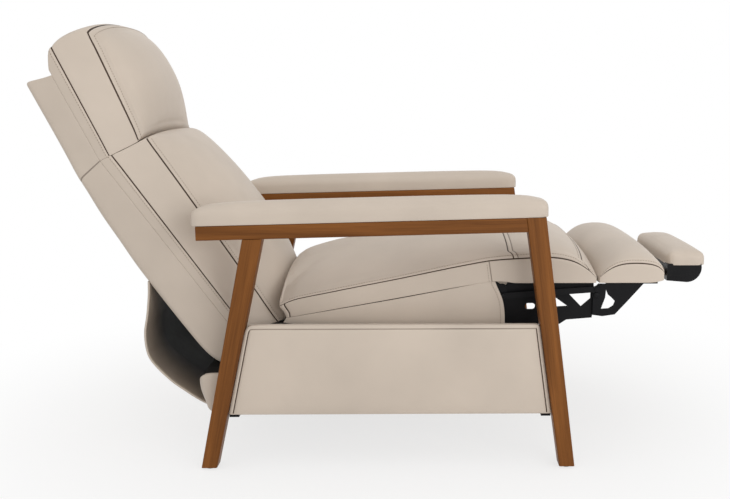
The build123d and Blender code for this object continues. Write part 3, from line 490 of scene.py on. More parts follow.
def mapped(tree, place, **inputs):
    return add_node(tree, "ShaderNodeMapping", {"Vector": place, **inputs}).outputs["Vector"]


def mixed_tone(tree, share, first, second):
    inputs = {"Factor": share, "A": first, "B": second}
    return add_node(tree, "ShaderNodeMix", inputs, data_type="RGBA").outputs["Result"]


def object_place(tree):
    return add_node(tree, "ShaderNodeTexCoord").outputs["Object"]


def finish_group(name, inputs, wiring):
    """Shader node group from a place and these floats and colours to a colour, a height and a roughness.

    wiring(group, given) makes the nodes inside and says what feeds the three outputs
    """
    found = bpy.data.node_groups.get(name)
    if found:
        return found
    group = bpy.data.node_groups.new(name, "ShaderNodeTree")
    socket = group.interface.new_socket
    socket("Place", in_out="INPUT", socket_type="NodeSocketVector")
    for key, default in inputs.items():
        kind = "NodeSocketColor" if isinstance(default, tuple) else "NodeSocketFloat"
        socket(key, in_out="INPUT", socket_type=kind).default_value = default
    socket("Color", in_out="OUTPUT", socket_type="NodeSocketColor")
    for key in ("Height", "Roughness"):
        socket(key, in_out="OUTPUT", socket_type="NodeSocketFloat")
    given = group.nodes.new("NodeGroupInput").outputs
    feed(group, group.nodes.new("NodeGroupOutput"), wiring(group, given))
    return group


def grain_wiring(group, given):
    """Leather pebble: small cells, fine pores and soft creases, with a slow drift of tone."""
    place = given["Place"]
    inputs = {"Vector": place, "Scale": given["Cell Scale"], "Randomness": 0.9}
    cells = add_node(group, "ShaderNodeTexVoronoi", inputs, feature="SMOOTH_F1").outputs["Distance"]
    pores = noise(group, place, 1800.0, 2.0)
    folds = noise(group, place, 38.0, 5.0, Roughness=0.6)
    drift = noise(group, place, 5.0, 3.0)
    pebble = worked(group, "MULTIPLY_ADD", cells, 0.6, pores)
    limits = [worked(group, way, 1.0, given["Drift"]) for way in ("SUBTRACT", "ADD")]
    swing = ranged(group, drift, 0.3, 0.7, *limits)
    return {
        "Color": vector_worked(group, "MULTIPLY", given["Tone"], swing),
        "Height": worked(group, "MULTIPLY_ADD", folds, 1.6, pebble),
        "Roughness": ranged(group, folds, 0.0, 1.0, 0.42, 0.60),
    }


def grain_group():
    inputs = {"Cell Scale": 620.0, "Tone": (0.5, 0.5, 0.5, 1.0), "Drift": 0.06}
    return finish_group("Leather grain", inputs, grain_wiring)


def wood_wiring(group, given):
    """Wood figure along X: stretched rings and fine pores between two tones."""
    wide = mapped(group, given["Place"], Scale=(1.3, 22.0, 22.0))
    fine = mapped(group, given["Place"], Scale=(9.0, 420.0, 420.0))
    figure = noise(group, wide, 1.6, 6.0, Distortion=0.5)
    pores = noise(group, fine, 1.0, 3.0, Roughness=0.7)
    share = ranged(group, worked(group, "MULTIPLY_ADD", pores, 0.45, figure), 0.52, 0.95)
    return {
        "Color": mixed_tone(group, share, given["Light"], given["Dark"]),
        "Height": pores,
        "Roughness": ranged(group, pores, 0.0, 1.0, 0.34, 0.52),
    }


def wood_group():
    inputs = {"Light": (0.5, 0.3, 0.1, 1.0), "Dark": (0.2, 0.1, 0.05, 1.0)}
    return finish_group("Wood figure", inputs, wood_wiring)


def coat_wiring(group, given):
    """Sprayed or moulded coat: orange-peel height, and dust that greys and dulls it in patches."""
    patch = noise(group, given["Place"], 26.0, 4.0)
    dust = worked(group, "MULTIPLY", patch, given["Dust"])
    return {
        "Color": vector_worked(group, "ADD", given["Tone"], dust),
        "Height": noise(group, given["Place"], 900.0, 2.0),
        "Roughness": worked(group, "MULTIPLY_ADD", patch, 0.22, given["Gloss"]),
    }


def coat_group():
    return finish_group("Coat", {"Tone": (0.0, 0.0, 0.0, 1.0), "Dust": 0.03, "Gloss": 0.35}, coat_wiring)


def dress(tree, shader, group, place, values, bump):
    """Joins a finish group to the shader, with its height as a bump of this depth in metres."""
    finish = add_node(tree, "ShaderNodeGroup", node_tree=group)
    feed(tree, finish, {"Place": place, **values})
    inputs = {"Strength": 0.5, "Distance": bump, "Height": finish.outputs["Height"]}
    relief = add_node(tree, "ShaderNodeBump", inputs)
    feed(tree, shader, {
        "Base Color": finish.outputs["Color"],
        "Roughness": finish.outputs["Roughness"],
        "Normal": relief.outputs["Normal"],
    })


def opaque(colour):
    return (*colour, 1.0)


def grained(name, tone, bump, shine, sheen=0.0, **values):
    """Leather or thread of one tone."""
    material, tree, shader = new_material(name)
    if tree:
        dress(tree, shader, grain_group(), object_place(tree), {"Tone": opaque(tone), **values}, bump)
        feed(tree, shader, {SHINE: shine, "Sheen Weight": sheen})
    return material


def leather_material():
    return grained("Cream leather", bpy.context.scene.recliner_finish.leather, 0.0003, 0.35, 0.08)


def seam_material():
    return grained("Seam shadow", bpy.context.scene.recliner_finish.seam, 0.0002, 0.2, Drift=0.2)


def thin_seam_material():
    finish = bpy.context.scene.recliner_finish
    tone = Vector(finish.seam).lerp(Vector(finish.leather), 0.45)
    return grained("Thin seam shadow", tone, 0.0002, 0.2, Drift=0.2)


def thread_material():
    values = {"Cell Scale": 2400.0, "Drift": 0.12}
    return grained("Topstitch thread", bpy.context.scene.recliner_finish.thread, 0.0001, 0.3, **values)


def suede_material():
    """Inside of the flap: bare back of the leather at the open sides, darkened by painted shade to near
    black further in.
    """
    finish = bpy.context.scene.recliner_finish
    material, tree, shader = new_material("Suede back")
    if tree:
        place = object_place(tree)
        # Painted shade: from the open sides in to the middle, the tone fades from the suede to the
        # near-black lining colour. This stands in for the deep shadow inside the flap.
        across = add_node(tree, "ShaderNodeSeparateXYZ", {"Vector": place}).outputs["Y"]
        share = ranged(tree, worked(tree, "ABSOLUTE", across), 0.10, 0.27)
        tone = mixed_tone(tree, share, opaque(finish.lining_and_shade), opaque(finish.suede))
        values = {"Tone": tone, "Cell Scale": 1400.0, "Drift": 0.15}
        dress(tree, shader, grain_group(), place, values, 0.0004)
        feed(tree, shader, {SHINE: 0.05})
    return material


def wood_material(name, light, dark, lean):
    """Wood whose grain runs along X turned up by lean."""
    material, tree, shader = new_material(name)
    if tree:
        place = mapped(tree, object_place(tree), Rotation=(0.0, lean, 0.0))
        dress(tree, shader, wood_group(), place, {"Light": opaque(light), "Dark": opaque(dark)}, 0.00025)
        feed(tree, shader, {SHINE: 0.12})
    return material


def coat_material(name, tone, gloss, dust, metallic=0.0, shine=0.3, bump=0.0002):
    material, tree, shader = new_material(name)
    if tree:
        values = {"Tone": opaque(tone), "Gloss": gloss, "Dust": dust}
        dress(tree, shader, coat_group(), object_place(tree), values, bump)
        feed(tree, shader, {"Metallic": metallic, SHINE: shine})
    return material


def lining_material():
    tone = bpy.context.scene.recliner_finish.lining_and_shade
    return coat_material("Black lining", tone, 0.75, 0.012, shine=0.05, bump=0.0003)


def paint(material, *nodes):
    """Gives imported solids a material."""
    for node in nodes:
        NODES[node].data.materials.clear()
        NODES[node].data.materials.append(material)


def both(*names):
    return [side + name for name in names for side in ("right_", "left_")]


# Soft pieces

def on_side(a, b, c):
    return abs(b) > ON_FACE


def on_rim(a, b, c):
    return abs(b) > ON_FACE or a > ON_FACE


def nowhere(a, b, c):
    return False


class Pad:
    """A padded block that lies as put(share, y, c, a, b) says, with its front rolled over and its seams."""

    def __init__(self, name, put, length, width, depth, roll, share, corner, ends=(1.0, 1.0)):
        self.name = name
        self.units = (length, width / 2, depth)
        self.length = length
        self.width = width
        self.roll = roll
        self.share = share
        self.corner = corner if callable(corner) else lambda a, b, c: corner
        self.put = put
        self.ends = ends
        self.seams = []

    def place(self, a, b, c):
        inset = roll_inset(c, self.roll, self.share)
        low = inset * self.ends[0]
        high = self.length - inset * self.ends[1]
        half = self.width / 2 - inset
        corner = max(self.corner(a, b, c) - inset, 0.0005)
        x, y = rounded(between(low, high, a), b * half, low, high, half, corner)
        return self.put(x / self.length, y, c, a, b)

    def lines(self, axis, step, sewn):
        low, high = (-1.0, 1.0) if axis == 1 else (0.0, 1.0)
        unit = self.units[axis]
        if axis == 2:
            high = 1 - self.share
        marks = even_lines(low, high, max(2, round((high - low) * unit / step)))
        if axis == 2:
            turns = [pi / 2 * i / ROLL_STEPS for i in range(1, ROLL_STEPS + 1)]
            marks += [high + self.share * sin(turn) for turn in turns]
        if sewn:
            marks.insert(1, low + HEM / unit)
            if axis < 2:
                marks.insert(-1, high - HEM / unit)
        seams = [s.value for s in self.seams if s.axis == axis] if sewn else []
        return sewn_lines(marks, seams, unit)

    def build(self, held=nowhere, cap=None, step=None):
        """Settles a coarse copy as cloth, then sews the fine one over the shape it took."""
        step = step or bpy.context.scene.recliner_sizes.grid
        self.coarse = Block(*[self.lines(x, step, False) for x in range(3)], self.place)
        self.swell = settle(self.coarse, held, cap) if cap else None
        fine = Block(*[self.lines(x, step, True) for x in range(3)], self.settled)
        materials = leather_material(), seam_material(), thin_seam_material()
        return sew(self.name, fine, self.seams, self.units, materials)

    def settled(self, a, b, c):
        spot = self.place(a, b, c)
        return spot + self.coarse.between_lines(self.swell, (a, b, c)) if self.swell else spot

    def row(self, axis, value, fixed_axis, fixed, span=None, count=60):
        """Points along a line of the pad that is constant on two axes."""
        free = 3 - axis - fixed_axis
        low, high = span or ((-1.0, 1.0) if free == 1 else (0.0, 1.0))
        points = []
        for i in range(count + 1):
            spot = [0.0, 0.0, 0.0]
            spot[axis], spot[fixed_axis], spot[free] = value, fixed, between(low, high, i / count)
            points.append(self.settled(*spot))
        return points


def cover(piece, body, node):
    """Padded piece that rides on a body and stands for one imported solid."""
    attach(piece, body)
    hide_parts(node)


def sew_rows(name, piece, body, rows):
    """Topstitches that ride on the body of their piece."""
    stitches = topstitch(name, piece, rows)
    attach(stitches, body)


class BackShape(NamedTuple):
    """How one cushion of the back swells."""

    depth: float  # of its edges
    crown: float  # height of the swelling
    peak: float  # where along the cushion it is fullest
    low: float  # share of the crown left at the foot
    high: float  # share of the crown left at the head
    tilt: float  # how far the front lies back at the foot

    def swell(self, a):
        if a > self.peak:
            return self.crown * dome((a - self.peak) / (1 - self.peak), 2.2, self.high)
        return self.crown * dome(1 - a / self.peak, 1.7, self.low)


def back_pad(name, bottom, top, shape, joined, **padding):
    """One cushion of the back between two lines across it, given as functions of the depth.

    joined: 0 or 1, the end that lies tight on the other cushion
    """

    def put(share, y, c, a, b):
        middle = dome(b)
        u = c * shape.depth
        v = between(bottom(u, middle), top(u, middle), share)
        deep = u - shape.tilt * (1 - share) * c
        lean = BACK_SLANT * min(max((deep - SLANT_START) / SLANT_RUN, 0.0), 1.2) / HALF_BODY
        return back_point(deep + shape.swell(a) * middle * c * c, y * (1 - lean), v)

    def corner(a, b, c):
        if round(a) == joined:
            return 0.0008
        return between(0.0005, 0.010, ease((c - 0.2) / 0.1))

    length = top(FRONT_BORDER, 0.0) - bottom(FRONT_BORDER, 0.0)
    pad = Pad(name, put, length, 2 * HALF_BODY, shape.depth, corner=corner, **padding)
    pad.seams = [Seam(2, border / shape.depth, on_rim) for border in (SIDE_BORDER, FRONT_BORDER)]
    return pad


def held_below(share):
    """Holds a pad still below this share of its depth."""
    return lambda a, b, c: c < share


def room(front, sides, fade=lambda a, b: 1.0):
    """How far a pad may swell: its front by so much, fading to its edges, and its sides by less."""
    return lambda a, b, c: between(sides, front, fade(a, b)) if c > ON_FACE else sides


def to_sides(a, b):
    return dome(b, 3.0)


def to_all_edges(a, b):
    return dome(b, 3.0) * dome(2 * a - 1, 3.0)


class RECLINER_OT_back_cushions(bpy.types.Operator):
    """Sew the lumbar cushion and the head pillow"""

    bl_idname = "recliner.back_cushions"
    bl_label = "Back cushions"

    def execute(self, context):
        crease = tan(BACK_LEAN - HEAD_LEAN)
        head_top = curve((-0.003, 0.218), (0.011, 0.251), (0.030, 0.270), (0.051, 0.280), (0.087, 0.280),
                         (0.124, 0.270))
        foot = curve((0.0, -LUMBAR_LENGTH), (0.05, -LUMBAR_LENGTH), (0.115, -LUMBAR_LENGTH - 0.024))

        def crease_line(u, middle, side):
            rise = 0.016 * middle * ease(u / 0.115) - 0.5 * u * crease
            return rise + side * CREASE_GAP * ease((u - 0.02) / 0.03)

        lumbar = back_pad(
            "lumbar_leather",
            lambda u, middle: foot(u),
            lambda u, middle: crease_line(u, middle, -1),
            BackShape(depth=0.1145, crown=0.073, peak=0.42, low=0.0, high=0.11, tilt=0.022),
            joined=1, roll=0.022, share=0.3, ends=(0.0, 0.1),
        )
        pillow = back_pad(
            "pillow_leather",
            lambda u, middle: crease_line(u, middle, 1),
            lambda u, middle: head_top(u) + middle * (0.014 + 0.008 * u / 0.124),
            BackShape(depth=0.1150, crown=0.060, peak=0.48, low=0.29, high=0.50, tilt=0.017),
            joined=0, roll=0.030, share=0.2, ends=(0.9, 1.0),
        )
        for pad, node in ((lumbar, "lumbar_cushion"), (pillow, "head_pillow")):
            piece = pad.build(held_below(0.9), room(0.012, 0.002, to_all_edges))
            cover(piece, "back", node)
            rows = [pad.row(2, c, 1, side) for side in (-1, 1) for c in (0.97, 0.19)]
            if pad is pillow:
                rows.append(pad.row(2, 0.97, 0, 1.0))
            sew_rows(pad.name.replace("leather", "topstitch"), piece, "back", rows)
        return {"FINISHED"}


class RECLINER_OT_back_shell(bpy.types.Operator):
    """Upholster the shell of the back"""

    bl_idname = "recliner.back_shell"
    bl_label = "Back shell"

    def execute(self, context):
        length = SHELL_HEAD - SHELL_FOOT
        depth = curve((SHELL_FOOT, 0.070), (-0.52, 0.085), (-0.473, 0.092), (-0.25, 0.091), (-0.165, 0.085),
                      (-0.095, 0.080), (-0.01, 0.069), (0.05, 0.066), (SHELL_HEAD, 0.065))

        def put(share, y, c, a, b):
            v = between(SHELL_FOOT, SHELL_HEAD + 0.015 * c, share)
            v -= 0.022 * c * max(0.0, 1 - abs(v) / 0.12)
            plump = 0.004 * dome(b, 6.0) * dome(2 * a - 1, 6.0) * c
            return back_point(-c * depth(v) - plump, y, v)

        def corner(a, b, c):
            return between(0.001, 0.007, ease(c / 0.3))

        def on_outside(a, b, c):
            return abs(b) > ON_FACE or c > 0.85

        pad = Pad("shell_leather", put, length, 2 * HALF_BODY, 0.075, roll=0.015, share=0.2, corner=corner)
        pad.seams = [Seam(0, -SHELL_FOOT / length, on_outside, thin=True)]
        cover(pad.build(), "back", "back_shell")
        return {"FINISHED"}


class RECLINER_OT_seat_cover(bpy.types.Operator):
    """Sew the seat and the calf section as one cover that runs over the hinge between them"""

    bl_idname = "recliner.seat_cover"
    bl_label = "Seat and calf cover"

    def execute(self, context):
        rear, front = SEAT_REAR, 0.496
        fold_at, piping_at, nose_at = 0.299, 0.3092, 0.476
        edge = curve((rear, 0.366), (-0.20, 0.3835), (0.034, 0.432), (0.236, 0.472), (0.338, 0.480),
                     (0.390, 0.481), (0.442, 0.471), (0.478, 0.448), (front, 0.430))
        crown = curve((rear, 0.058), (-0.20, 0.050), (-0.15, 0.049), (-0.08, 0.048), (0.0, 0.041),
                      (0.24, 0.036), (0.302, 0.026), (0.36, 0.028), (0.44, 0.027), (front, 0.010))
        length = front - rear

        def put(share, y, c, a, b):
            x = between(rear, front, share)
            height = (edge(x) - seat_under(x)) / SEAT_SEAM * c
            middle = dome(b)
            lift = crown(x) * middle * c * c
            nose = 0.012 * middle * ease((x - 0.42) / 0.07) * c
            lean = 0.010 * (0.4 - c) * max(0.0, 1 - abs(x - GUSSET_AT) / 0.06)
            lean -= 0.014 * ease((c - 0.2) / 0.5) * max(0.0, 1 - share / 0.14)
            return Vector((x + nose + lean, y, seat_under(x) + height + lift))

        def share_at(x):
            return (x - rear) / length

        def below_seam(a, b, c):
            return abs(b) > ON_FACE and c < SEAT_SEAM - 0.01

        def above_seam(a, b, c):
            return c > ON_FACE or abs(b) > ON_FACE and c > SEAT_SEAM

        def held(a, b, c):
            return c < 0.85 or abs(a - share_at(fold_at)) < 0.012

        pad = Pad("seat_leather", put, length, 2 * HALF_BODY, 0.062, roll=0.016, share=0.2, corner=0.008,
                  ends=(0.3, 1.0))
        pad.seams = [
            Seam(2, SEAT_SEAM, on_side),
            Seam(0, share_at(fold_at), above_seam),
            Seam(0, share_at(piping_at), above_seam, thin=True),
            Seam(0, share_at(nose_at), above_seam),
            Seam(0, share_at(GUSSET_AT), below_seam, thin=True),
            Seam(0, share_at(rear + 0.012), below_seam),
        ]
        piece = pad.build(held, room(0.012, 0.002, to_sides))
        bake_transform(piece)
        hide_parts("seat_cushion", "calf_cushion")
        rows = [pad.row(0, share_at(nose_at - 0.008), 2, 1.0)]
        for side in (-1, 1):
            rows.append(pad.row(2, 0.90, 1, side, (0.03, 0.99)))
            rows.append(pad.row(0, share_at(GUSSET_AT - 0.006), 1, side, (0.05, 0.72)))
        stitches = topstitch("seat_topstitch", piece, rows)
        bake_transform(stitches)
        return {"FINISHED"}


class RECLINER_OT_leg_pad(bpy.types.Operator):
    """Sew the leg pad"""

    bl_idname = "recliner.leg_pad"
    bl_label = "Leg pad"

    def execute(self, context):
        low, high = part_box("leg_cushion")
        rear, front = low.x + 0.001, high.x - 0.001
        straight = 0.8  # share of the side below its roll
        edge = curve((rear, 0.432), (rear + 0.02, 0.451), (rear + 0.047, 0.464), (rear + 0.084, 0.468),
                     (rear + 0.128, 0.464), (front - 0.006, 0.453), (front, 0.440))

        def put(share, y, c, a, b):
            x = between(rear, front, share)
            lift = 0.024 * dome(b) * c * c * dome(2 * a - 1, 4.0, 0.4)
            foot = low.z + 0.006 * ease((share - 0.84) / 0.16)
            return Vector((x, y, foot + (edge(x) - foot) / straight * c + lift))

        pad = Pad("leg_pad_leather", put, front - rear, 2 * HALF_BODY, 0.056, roll=0.010, share=0.2,
                  corner=0.008)
        pad.seams = [Seam(2, SEAT_SEAM, on_side)]
        piece = pad.build(held_below(0.85), room(0.010, 0.002, to_sides))
        cover(piece, "leg_rest", "leg_cushion")
        rows = [pad.row(2, 0.9, 1, side) for side in (-1, 1)]
        sew_rows("leg_pad_topstitch", piece, "leg_rest", rows)
        return {"FINISHED"}


class RECLINER_OT_foot_flap(bpy.types.Operator):
    """Sew the small pad of the foot flap"""

    bl_idname = "recliner.foot_flap"
    bl_label = "Foot flap"

    def execute(self, context):
        low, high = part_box("flap_cushion")
        depth = 0.030

        def put(share, y, c, a, b):
            lift = 0.008 * dome(b, 3.0) * dome(2 * a - 1, 3.0) * c
            droop = 0.004 * (1 - dome(b, 40.0) * dome(2 * a - 1, 24.0)) * (1 - c)
            return Vector((between(low.x, high.x, share), y, low.z - droop + depth * c + lift))

        pad = Pad("foot_flap_leather", put, high.x - low.x, 2 * high.y + 0.004, depth, roll=0.016, share=0.5,
                  corner=0.022)
        piece = pad.build(held_below(0.45), room(0.004, 0.001), step=0.010)
        cover(piece, "foot_flap", "flap_cushion")
        return {"FINISHED"}


class RECLINER_OT_arm_pads(bpy.types.Operator):
    """Pad the tops of the arms"""

    bl_idname = "recliner.arm_pads"
    bl_label = "Arm pads"

    def execute(self, context):
        depth = 0.038
        for side in ("right", "left"):
            low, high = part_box(f"{side}_arm_pad")
            middle = (low.y + high.y) / 2
            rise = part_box(f"{side}_arm_rail")[1].z - ARM_SLOPE * high.x

            def put(share, y, c, a, b):
                x = between(low.x, high.x, share)
                lift = 0.010 * dome(b, 2.2) * dome(2 * a - 1, 12.0) * c
                return Vector((x, middle + y, rise + ARM_SLOPE * x + 0.0005 + depth * c + lift))

            pad = Pad(f"{side}_arm_pad_leather", put, high.x - low.x, high.y - low.y, depth, roll=0.017,
                      share=0.46, corner=0.020)
            piece = pad.build(held_below(0.5), room(0.003, 0.001))
            cover(piece, "base", f"{side}_arm_pad")
        return {"FINISHED"}


def slant(node, at_top, to_front):
    """X of one corner of a packed panel."""
    points = [v.co for v in NODES[node].data.vertices]
    level = max(p.z for p in points) if at_top else min(p.z for p in points)
    near = [p.x for p in points if abs(p.z - level) < 0.003]
    return max(near) if to_front else min(near)


class RECLINER_OT_side_panels(bpy.types.Operator):
    """Upholster the two side panels, with a welt inside their front, top and rear edges"""

    bl_idname = "recliner.side_panels"
    bl_label = "Side panels"

    def execute(self, context):
        for side, way in (("right", -1), ("left", 1)):
            node = f"{side}_side_panel"
            low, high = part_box(node)
            inner = low.y if way > 0 else high.y
            thick = high.y - low.y
            height = high.z - low.z
            corners = [slant(node, top, fore) for top in (False, True) for fore in (False, True)]
            length = corners[1] - corners[0] - 0.001
            end_welt = 0.0075 / length
            top_welt = 1 - 0.0065 / (height / 2)

            def put(share, y, c, a, b):
                z = (low.z + high.z) / 2 + y
                rise = (z - low.z) / height
                rear = between(corners[0], corners[2], rise) + 0.0005
                front = between(corners[1], corners[3], rise) - 0.0005
                plump = 0.004 * dome(b, 8.0) * dome(2 * a - 1, 8.0) * c
                drop = 0.018 * ease((0.5 - c) / 0.3) * max(0.0, b) ** 4
                return Vector((between(rear, front, share), inner + way * (thick * c + plump), z - drop))

            def corner(a, b, c):
                if b < 0:
                    return 0.003
                return 0.018 if a < 0.5 else 0.008

            def on_end(a, b, c):
                return c > ON_FACE and b < top_welt + 0.001

            def on_top(a, b, c):
                return c > ON_FACE and end_welt < a + 1e-5 < 1 - end_welt + 2e-5

            pad = Pad(f"{side}_panel_leather", put, length, height, thick, roll=0.003, share=0.06,
                      corner=corner)
            pad.seams = [
                Seam(0, end_welt, on_end),
                Seam(0, 1 - end_welt, on_end),
                Seam(1, top_welt, on_top, thin=True),
            ]
            cover(pad.build(), "base", node)
        return {"FINISHED"}


class RECLINER_OT_seat_sides(bpy.types.Operator):
    """Leather sides below the seat, with a hemmed front edge"""

    bl_idname = "recliner.seat_sides"
    bl_label = "Seat sides"

    def execute(self, context):
        low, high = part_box("right_seat_side")
        front_edge = curve((low.z, 0.280), (0.340, 0.280), (0.372, 0.277), (0.396, 0.269), (0.418, 0.257))
        rear_edge = curve((low.z, -0.250), (0.3235, -0.243), (0.337, -0.2345))
        height, thick = 0.12, 0.003
        for side, way in (("right", -1), ("left", 1)):

            def put(share, y, c, a, b):
                top = seat_under(between(-0.235, 0.258, share)) - 0.0002
                z = between(low.z, top, (y + height / 2) / height)
                x = between(rear_edge(z), front_edge(z), share)
                plump = 0.0010 * dome(b, 4.0) * dome(2 * a - 1, 8.0) * c
                return Vector((x, way * (low.y * -1 - thick * (1 - c) + plump), z))

            pad = Pad(f"{side}_seat_side_leather", put, high.x - low.x, height, thick, roll=0.0008,
                      share=0.4, corner=0.001)
            piece = pad.build()
            cover(piece, "seat", f"{side}_seat_side")
            sew_rows(f"{side}_seat_side_hem", piece, "seat", [pad.row(0, 0.982, 2, 1.0)])
        return {"FINISHED"}


class RECLINER_OT_rear_rail(bpy.types.Operator):
    """Upholster the rail between the rear legs and line its top"""

    bl_idname = "recliner.rear_rail"
    bl_label = "Rear rail"

    def execute(self, context):
        low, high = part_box("rear_rail")

        def put(share, y, c, a, b):
            z = (low.z + high.z) / 2 + y
            back = between(-0.419, low.x, ease((z - low.z) / 0.07))
            foot = between(0.008, 0.0, c) * ease((low.z + 0.03 - z) / 0.03)
            return Vector((between(high.x, back, c), between(low.y, high.y, share), z + foot))

        pad = Pad("rear_rail_leather", put, high.y - low.y, high.z - low.z, 0.06, roll=0.022, share=0.5,
                  corner=0.004)
        piece = pad.build()
        piece.data.materials.append(lining_material())
        lining_and_shade = len(piece.data.materials) - 1
        for polygon in piece.data.polygons:
            if polygon.normal.z > 0.5 and abs(polygon.center.y) < high.y - 0.010:
                polygon.material_index = lining_and_shade
        cover(piece, "base", "rear_rail")
        return {"FINISHED"}


class RECLINER_OT_rear_flap(bpy.types.Operator):
    """Hang the loose flap between the back and the rear rail"""

    bl_idname = "recliner.rear_flap"
    bl_label = "Rear flap"

    def execute(self, context):
        low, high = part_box("rear_flap")
        top = back_point(-0.0915, 0.0, 0.51 * SHELL_FOOT)
        foot = Vector((high.x - 0.0005, 0.0, low.z + 0.001))
        run = foot - top
        out = Vector((run.z, 0.0, -run.x)).normalized()
        sag = curve((0.0, 0.0), (0.085, 0.0145), (0.21, 0.040), (0.32, 0.065), (0.45, 0.081), (0.54, 0.081),
                    (0.71, 0.062), (0.825, 0.041), (0.93, 0.019), (1.0, 0.0))
        half = high.y
        rows, columns, cloth = 40, 44, 0.0042
        wide = columns + 1
        points = []
        for i, j in product(range(rows + 1), range(wide)):
            share = i / rows
            y = between(-half, half, j / columns)
            waves = 0.005 * cos(y * 17.0) + 0.010 * dome(y / half)
            slack = sag(share) + waves * sin(share * pi)
            points.append(top + run * share + out * slack + Vector((0, y, 0)))
        faces = []
        for i, j in product(range(rows), range(columns)):
            first = i * wide + j
            faces.append((first, first + wide, first + wide + 1, first + 1))
        mesh = plain_mesh("rear_flap_leather", points, faces)
        flap = shown("rear_flap_leather", mesh, leather_material(), suede_material())
        skin = flap.modifiers.new("cloth", "SOLIDIFY")
        skin.thickness = cloth
        skin.offset = 1.0
        keep_shape(flap)
        for polygon in flap.data.polygons:
            polygon.material_index = 1 if polygon.normal.dot(out) < -0.3 else 0
        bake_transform(flap)
        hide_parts("rear_flap")
        return {"FINISHED"}


# Rigid pieces

class RECLINER_OT_wood(bpy.types.Operator):
    """Stain the legs and arms and leave the inner frame bare"""

    bl_idname = "recliner.wood"
    bl_label = "Wood"

    def execute(self, context):
        finish = context.scene.recliner_finish
        walnut = finish.walnut, finish.walnut_dark
        bare = finish.ply, finish.ply_dark
        for name, tones, lean, nodes in (
            ("Walnut arm", walnut, 0.0, both("arm_rail")),
            ("Walnut front leg", walnut, -81.9, both("front_leg")),
            ("Walnut rear leg", walnut, 77.7, both("rear_leg")),
            ("Bare board", bare, 0.0, ["calf_board", "leg_board"]),
            ("Bare stile", bare, 54.0, ["back_rails", "front_cross_rail", *both("back_stile")]),
        ):
            paint(wood_material(name, *tones, radians(lean)), *nodes)
        return {"FINISHED"}


def dome_head(name, places, radius, height):
    """Domed rivet heads; a place is its middle and the way it faces."""
    points, faces = [], []
    rings, around = 4, 18
    for middle, way in places:
        side = Vector((1, 0, 0))
        up = way.cross(side)
        base = len(points)
        for ring in range(rings + 1):
            angle = pi / 2 * ring / rings * 0.92
            for turn in range(around):
                theta = 2 * pi * turn / around
                out = (side * cos(theta) + up * sin(theta)) * radius * cos(angle)
                points.append(middle + out + way * height * sin(angle))
        for ring in range(rings):
            for turn in range(around):
                first, second = base + ring * around + turn, base + ring * around + (turn + 1) % around
                faces.append((first, second, second + around, first + around))
        faces.append(tuple(base + rings * around + turn for turn in range(around)))
        faces.append(tuple(base + turn for turn in reversed(range(around))))
    return raw_mesh(name, points, faces)


class RECLINER_OT_mechanism(bpy.types.Operator):
    """Black the steel mechanism and head its rivets"""

    bl_idname = "recliner.mechanism"
    bl_label = "Mechanism"

    def execute(self, context):
        finish = context.scene.recliner_finish
        steel = coat_material("Black steel", finish.black, 0.30, 0.004, shine=0.1)
        paint(steel, "pivot_shaft", "panel_tabs", "seat_rear_tube", "seat_front_tube",
              *both("base_plate", "back_bracket", "seat_plate", "lift_lever", "push_rod", "calf_bracket",
                    "leg_bracket", "curl_link"))
        paint(coat_material("Zinc steel", finish.zinc, 0.25, 0.05, 1.0), "mechanism_bolts", "seat_springs")
        paint(coat_material("Moulded black", finish.black, 0.14, 0.002, shine=0.13), "flap_tray")
        paint(coat_material("Glide plastic", finish.glide, 0.45, 0.03), "floor_glides")
        paint(lining_material(), "back_straps")
        knee = JOINT_AT["leg_pad_curl"]
        foot = JOINT_AT["link_swing"]
        for name, body, spot, reach, radius in (
            ("knee_rivets", "calf_rest", knee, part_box("left_calf_bracket")[1].y, 0.0078),
            ("link_rivets", "seat", foot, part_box("left_seat_plate")[1].y, 0.0066),
        ):
            places = [(Vector((spot.x, way * reach, spot.z)), Vector((0, way, 0))) for way in (-1, 1)]
            heads = shown(name, dome_head(name, places, radius, 0.0018), steel)
            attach(heads, body)
        return {"FINISHED"}


# Stage

def soft_lamp(name, place, aim, size, power):
    lamp = bpy.data.lights.new(name, "AREA")
    lamp.shape = "RECTANGLE"
    lamp.size, lamp.size_y = size
    lamp.energy = power
    holder = bpy.data.objects.new(name, lamp)
    bpy.context.scene.collection.objects.link(holder)
    holder.location = place
    holder.rotation_euler = (Vector(aim) - Vector(place)).to_track_quat("-Z", "Y").to_euler()


